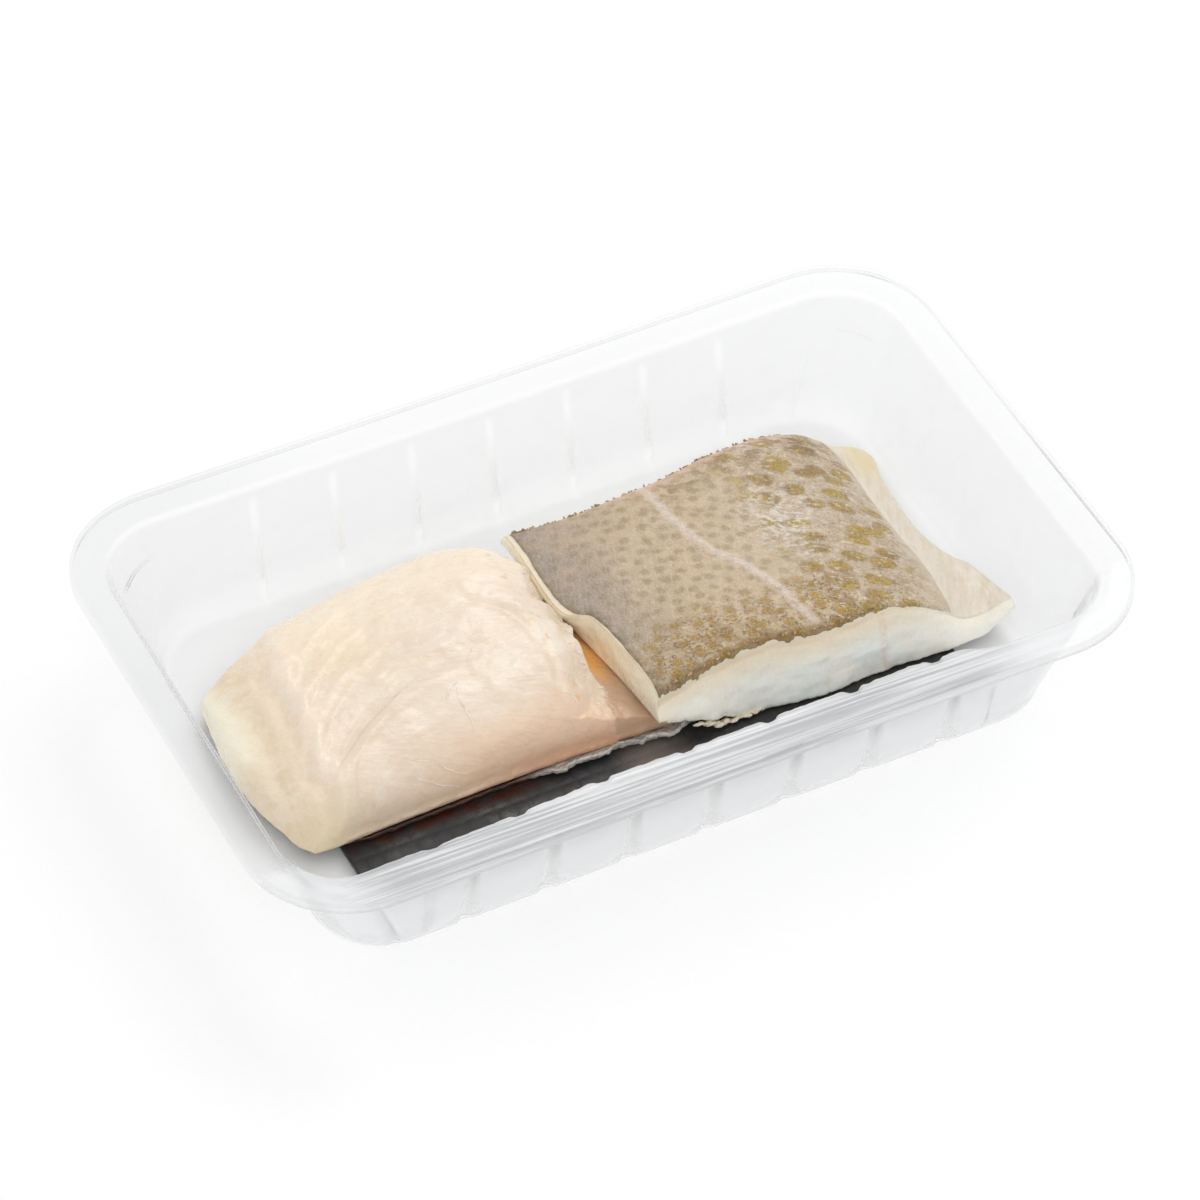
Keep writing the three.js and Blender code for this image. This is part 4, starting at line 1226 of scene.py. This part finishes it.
def make_scraps(material):
    """Torn scraps at the foot of the second piece's cut face."""
    shell = Shell()
    rng = np.random.default_rng(23)
    t = np.linspace(-0.5, 0.5, 9)
    for x in np.linspace(10.5, 26, 16):
        y = -29.6 - 0.02 * (x - 10) + rng.uniform(-0.5, 0.3)
        length, turn, radius = rng.uniform(1.8, 3.4), rng.uniform(-0.35, 0.35), rng.uniform(0.45, 0.85)
        way = level_way(x, y, length * t, turn)
        height = lerp(5.2, PAD_TOP + 0.9, smooth(11, 17, x)) + 0.45 * patchy(way[:, 0], way[:, 1], 1.1, 64)
        tube(shell, np.column_stack([way, height]), radius * np.cos(t * 2.6) ** 0.8, 9)
    return shell.build("torn_scraps", material)


# ---- settings ----

def length(name, about, default, low, high):
    return FloatProperty(name=name, description=about, default=default, min=low, max=high, unit="LENGTH")


def paint(name, about, default):
    return FloatVectorProperty(
        name=name, description="Colour of " + about, default=default, subtype="COLOR", size=4, min=0, max=1,
    )


class TraySettings(bpy.types.PropertyGroup):
    flange_width: length("Flange width", "Width of the flat rim", FLANGE_WIDTH * MM, 0.004, 0.009)
    flutes: IntProperty(name="Flutes", description="Flutes in each long wall", default=7, min=3, max=7)
    flute_pitch: length("Flute pitch", "Distance between two flutes", 0.0206, 0.012, 0.0212)
    flute_depth: length("Flute depth", "Depth of a flute at its foot", 0.0026, 0.001, 0.005)
    colour: paint("Plastic", "the clear plastic's haze", (0.93, 0.935, 0.94, 1))


class PadSettings(bpy.types.PropertyGroup):
    pad_cell: length("Cell", "Size of a pressed cell of the pad", 0.0042, 0.002, 0.012)
    pad_press: length("Press", "Depth of a pressed cell", 0.00022, 0, 0.0005)
    colour: paint("Pad", "the absorbent pad", tone(40, 40, 41))


class FishSettings(bpy.types.PropertyGroup):
    flake_spacing: length("Flake spacing", "Distance between two muscle flakes", 0.0092, 0.004, 0.02)
    flesh: paint("Flesh", "the flesh from above", tone(233, 215, 195))
    cut: paint("Cut face", "the cut faces", tone(247, 243, 230))
    skin: paint("Skin", "the skin's ground", tone(203, 181, 150))
    spots: paint("Spots", "the spots on the skin", tone(176, 146, 36))
    silver: paint("Skin edge", "the torn edge of the lower skin", tone(168, 163, 154))
    shreds: paint("Shreds", "threads and membrane", tone(250, 246, 238))


class StageSettings(bpy.types.PropertyGroup):
    floor: paint("Floor", "the floor", (0.97, 0.97, 0.97, 1))
    key: FloatProperty(
        name="Key light", description="Power of the large light", default=5.0, min=0, max=200, unit="POWER"
    )
    world: FloatProperty(
        name="Surround", description="Brightness of the surround", default=0.765, min=0, max=5
    )


# ---- stage ----

LAMPS = (
    ("key", (0.55, 0.75, 1.25), 0.7, 1.0),
    ("fill", (-0.55, -1.05, 0.85), 0.9, 0.55),
    ("side", (1.05, 0.20, 1.20), 0.6, 0.38),
)
FLOOR_SIZE, FLOOR_DROP = 3, 0.0004
CAMERA_TURN, CAMERA_TILT, CAMERA_ROLL = 27.736, 45.623, 0.9986
PICTURE_SIZE = 1200
CAMERA_FOCAL = 6114.8
CAMERA_SCALE = 4.2487
CENTRE_ACROSS, CENTRE_DOWN = 600.58, 672.37
SENSOR_WIDTH = 36.0


def make_floor(colour):
    s, z = FLOOR_SIZE, -FLOOR_DROP
    mesh = bpy.data.meshes.new("floor")
    mesh.from_pydata([(-s, -s, z), (s, -s, z), (s, s, z), (-s, s, z)], [], [(0, 1, 2, 3)])
    mesh.materials.append(plain_floor(colour))
    shown("floor", mesh)


def make_lights(scene, settings):
    world = bpy.data.worlds.new("surround")
    world.use_nodes = True
    background = world.node_tree.nodes["Background"].inputs
    background["Color"].default_value = (1, 1, 1, 1)
    background["Strength"].default_value = settings.world
    scene.world = world
    for name, place, size, share in LAMPS:
        data = bpy.data.lights.new(name, "AREA")
        data.shape, data.size, data.energy = "DISK", size, settings.key * share
        lamp = shown(name, data)
        lamp.location = place
        lamp.rotation_euler = (-Vector(place)).to_track_quat("-Z", "Y").to_euler()


def make_camera(scene):
    """The photo's camera. Its focal length and the frame's centre are in pixels of the photo."""
    turn, tilt, roll = [math.radians(a) for a in (CAMERA_TURN, CAMERA_TILT, CAMERA_ROLL)]
    ahead = Vector((math.sin(turn) * math.cos(tilt), math.cos(turn) * math.cos(tilt), -math.sin(tilt)))
    right = Vector((math.cos(turn), -math.sin(turn), 0))
    up = right.cross(ahead)
    right, up = right * math.cos(roll) + up * math.sin(roll), up * math.cos(roll) - right * math.sin(roll)
    distance = CAMERA_FOCAL / CAMERA_SCALE
    aside = (CENTRE_ACROSS - PICTURE_SIZE / 2) / CAMERA_SCALE
    above = (CENTRE_DOWN - PICTURE_SIZE / 2) / CAMERA_SCALE
    place = (-right * aside + up * above - ahead * distance) * MM
    data = bpy.data.cameras.new("camera")
    data.sensor_width = SENSOR_WIDTH
    data.lens = CAMERA_FOCAL * SENSOR_WIDTH / PICTURE_SIZE
    data.clip_start, data.clip_end = 0.05, 20
    camera = shown("camera", data)
    rows = [(*row, shift) for row, shift in zip(zip(right, up, -ahead), place)]
    camera.matrix_world = Matrix([*rows, (0, 0, 0, 1)])
    scene.camera = camera


# ---- operators ----

class COD_OT_tray(bpy.types.Operator):
    """Makes the clear tray with its flange, flutes and panels"""
    bl_idname = "cod.tray"
    bl_label = "Tray"

    def execute(self, context):
        clear_old("clear_tray")
        sizes = context.scene.cod_tray
        settle(make_tray(sizes, sizes.colour), "clear_plastic", "tray")
        return {"FINISHED"}


class COD_OT_pad(bpy.types.Operator):
    """Makes the absorbent pad with its pressed cells"""
    bl_idname = "cod.pad"
    bl_label = "Pad"

    def execute(self, context):
        clear_old("damp_pad")
        sizes = context.scene.cod_pad
        settle(make_pad(sizes, pad_crepe(sizes.colour)), "pad", "absorbent_pad")
        return {"FINISHED"}


class COD_OT_flesh_up(bpy.types.Operator):
    """Makes the piece that lies flesh up, with its lower skin and threads"""
    bl_idname = "cod.flesh_up"
    bl_label = "Piece, flesh up"

    def execute(self, context):
        clear_old("soft_flesh_piece", "lower_skin_edge", "pale_threads")
        sizes = context.scene.cod_fish
        flesh = make_flesh_up(sizes, soft_flesh(sizes.flesh))
        settle(flesh, "flesh", "flesh_up_flesh")
        settle(make_flesh_up_skin(skin_rim(sizes.silver)), "skin_edge", "flesh_up_skin")
        settle(make_threads(flesh, pale_shreds(sizes.shreds)), "pale_flesh")
        return {"FINISHED"}


class COD_OT_skin_up(bpy.types.Operator):
    """Makes the piece that lies skin up, with its skin, frays and torn scraps"""
    bl_idname = "cod.skin_up"
    bl_label = "Piece, skin up"

    def execute(self, context):
        clear_old("cut_flesh_piece", "scaled_skin", "skin_frays", "torn_scraps")
        sizes = context.scene.cod_fish
        cut = cut_flesh(sizes.cut)
        settle(make_skin_up_flesh(cut), "pale_flesh", "skin_up_flesh")
        skin = make_skin_up_skin(cod_skin(sizes.skin, sizes.spots))
        settle(make_frays(skin, frayed_skin(sizes.spots)), "skin")
        settle(skin, "skin", "skin_up_skin")
        settle(make_scraps(cut), "pale_flesh")
        return {"FINISHED"}


class COD_OT_stage(bpy.types.Operator):
    """Makes the floor, the soft lights and the camera"""
    bl_idname = "cod.stage"
    bl_label = "Stage"

    def execute(self, context):
        scene = context.scene
        clear_old("floor", "camera", *(lamp[0] for lamp in LAMPS))
        make_floor(scene.cod_stage.floor)
        make_lights(scene, scene.cod_stage)
        make_camera(scene)
        scene.view_settings.view_transform = "Standard"
        return {"FINISHED"}


class COD_PT_panel(bpy.types.Panel):
    """Settings and buttons of the cod tray pack"""
    bl_idname = "COD_PT_panel"
    bl_label = "Cod tray"
    bl_space_type = "VIEW_3D"
    bl_region_type = "UI"
    bl_category = "Cod tray"

    def draw(self, context):
        for key in GROUPS:
            group = getattr(context.scene, key)
            for name in group.__annotations__:
                self.layout.prop(group, name)
        for operator in OPERATORS:
            self.layout.operator(operator.bl_idname)


OPERATORS = (COD_OT_tray, COD_OT_pad, COD_OT_flesh_up, COD_OT_skin_up, COD_OT_stage)
GROUPS = {
    "cod_tray": TraySettings, "cod_pad": PadSettings, "cod_fish": FishSettings, "cod_stage": StageSettings,
}


def register():
    for made in (*GROUPS.values(), *OPERATORS, COD_PT_panel):
        bpy.utils.register_class(made)
    for name, group in GROUPS.items():
        setattr(bpy.types.Scene, name, PointerProperty(type=group))


def unregister():
    for name in GROUPS:
        delattr(bpy.types.Scene, name)
    for made in reversed((*GROUPS.values(), *OPERATORS, COD_PT_panel)):
        bpy.utils.unregister_class(made)


def main():
    register()
    bpy.ops.cod.stage()
    bpy.ops.cod.tray()
    bpy.ops.cod.pad()
    bpy.ops.cod.flesh_up()
    bpy.ops.cod.skin_up()


if __name__ == "__main__":
    main()
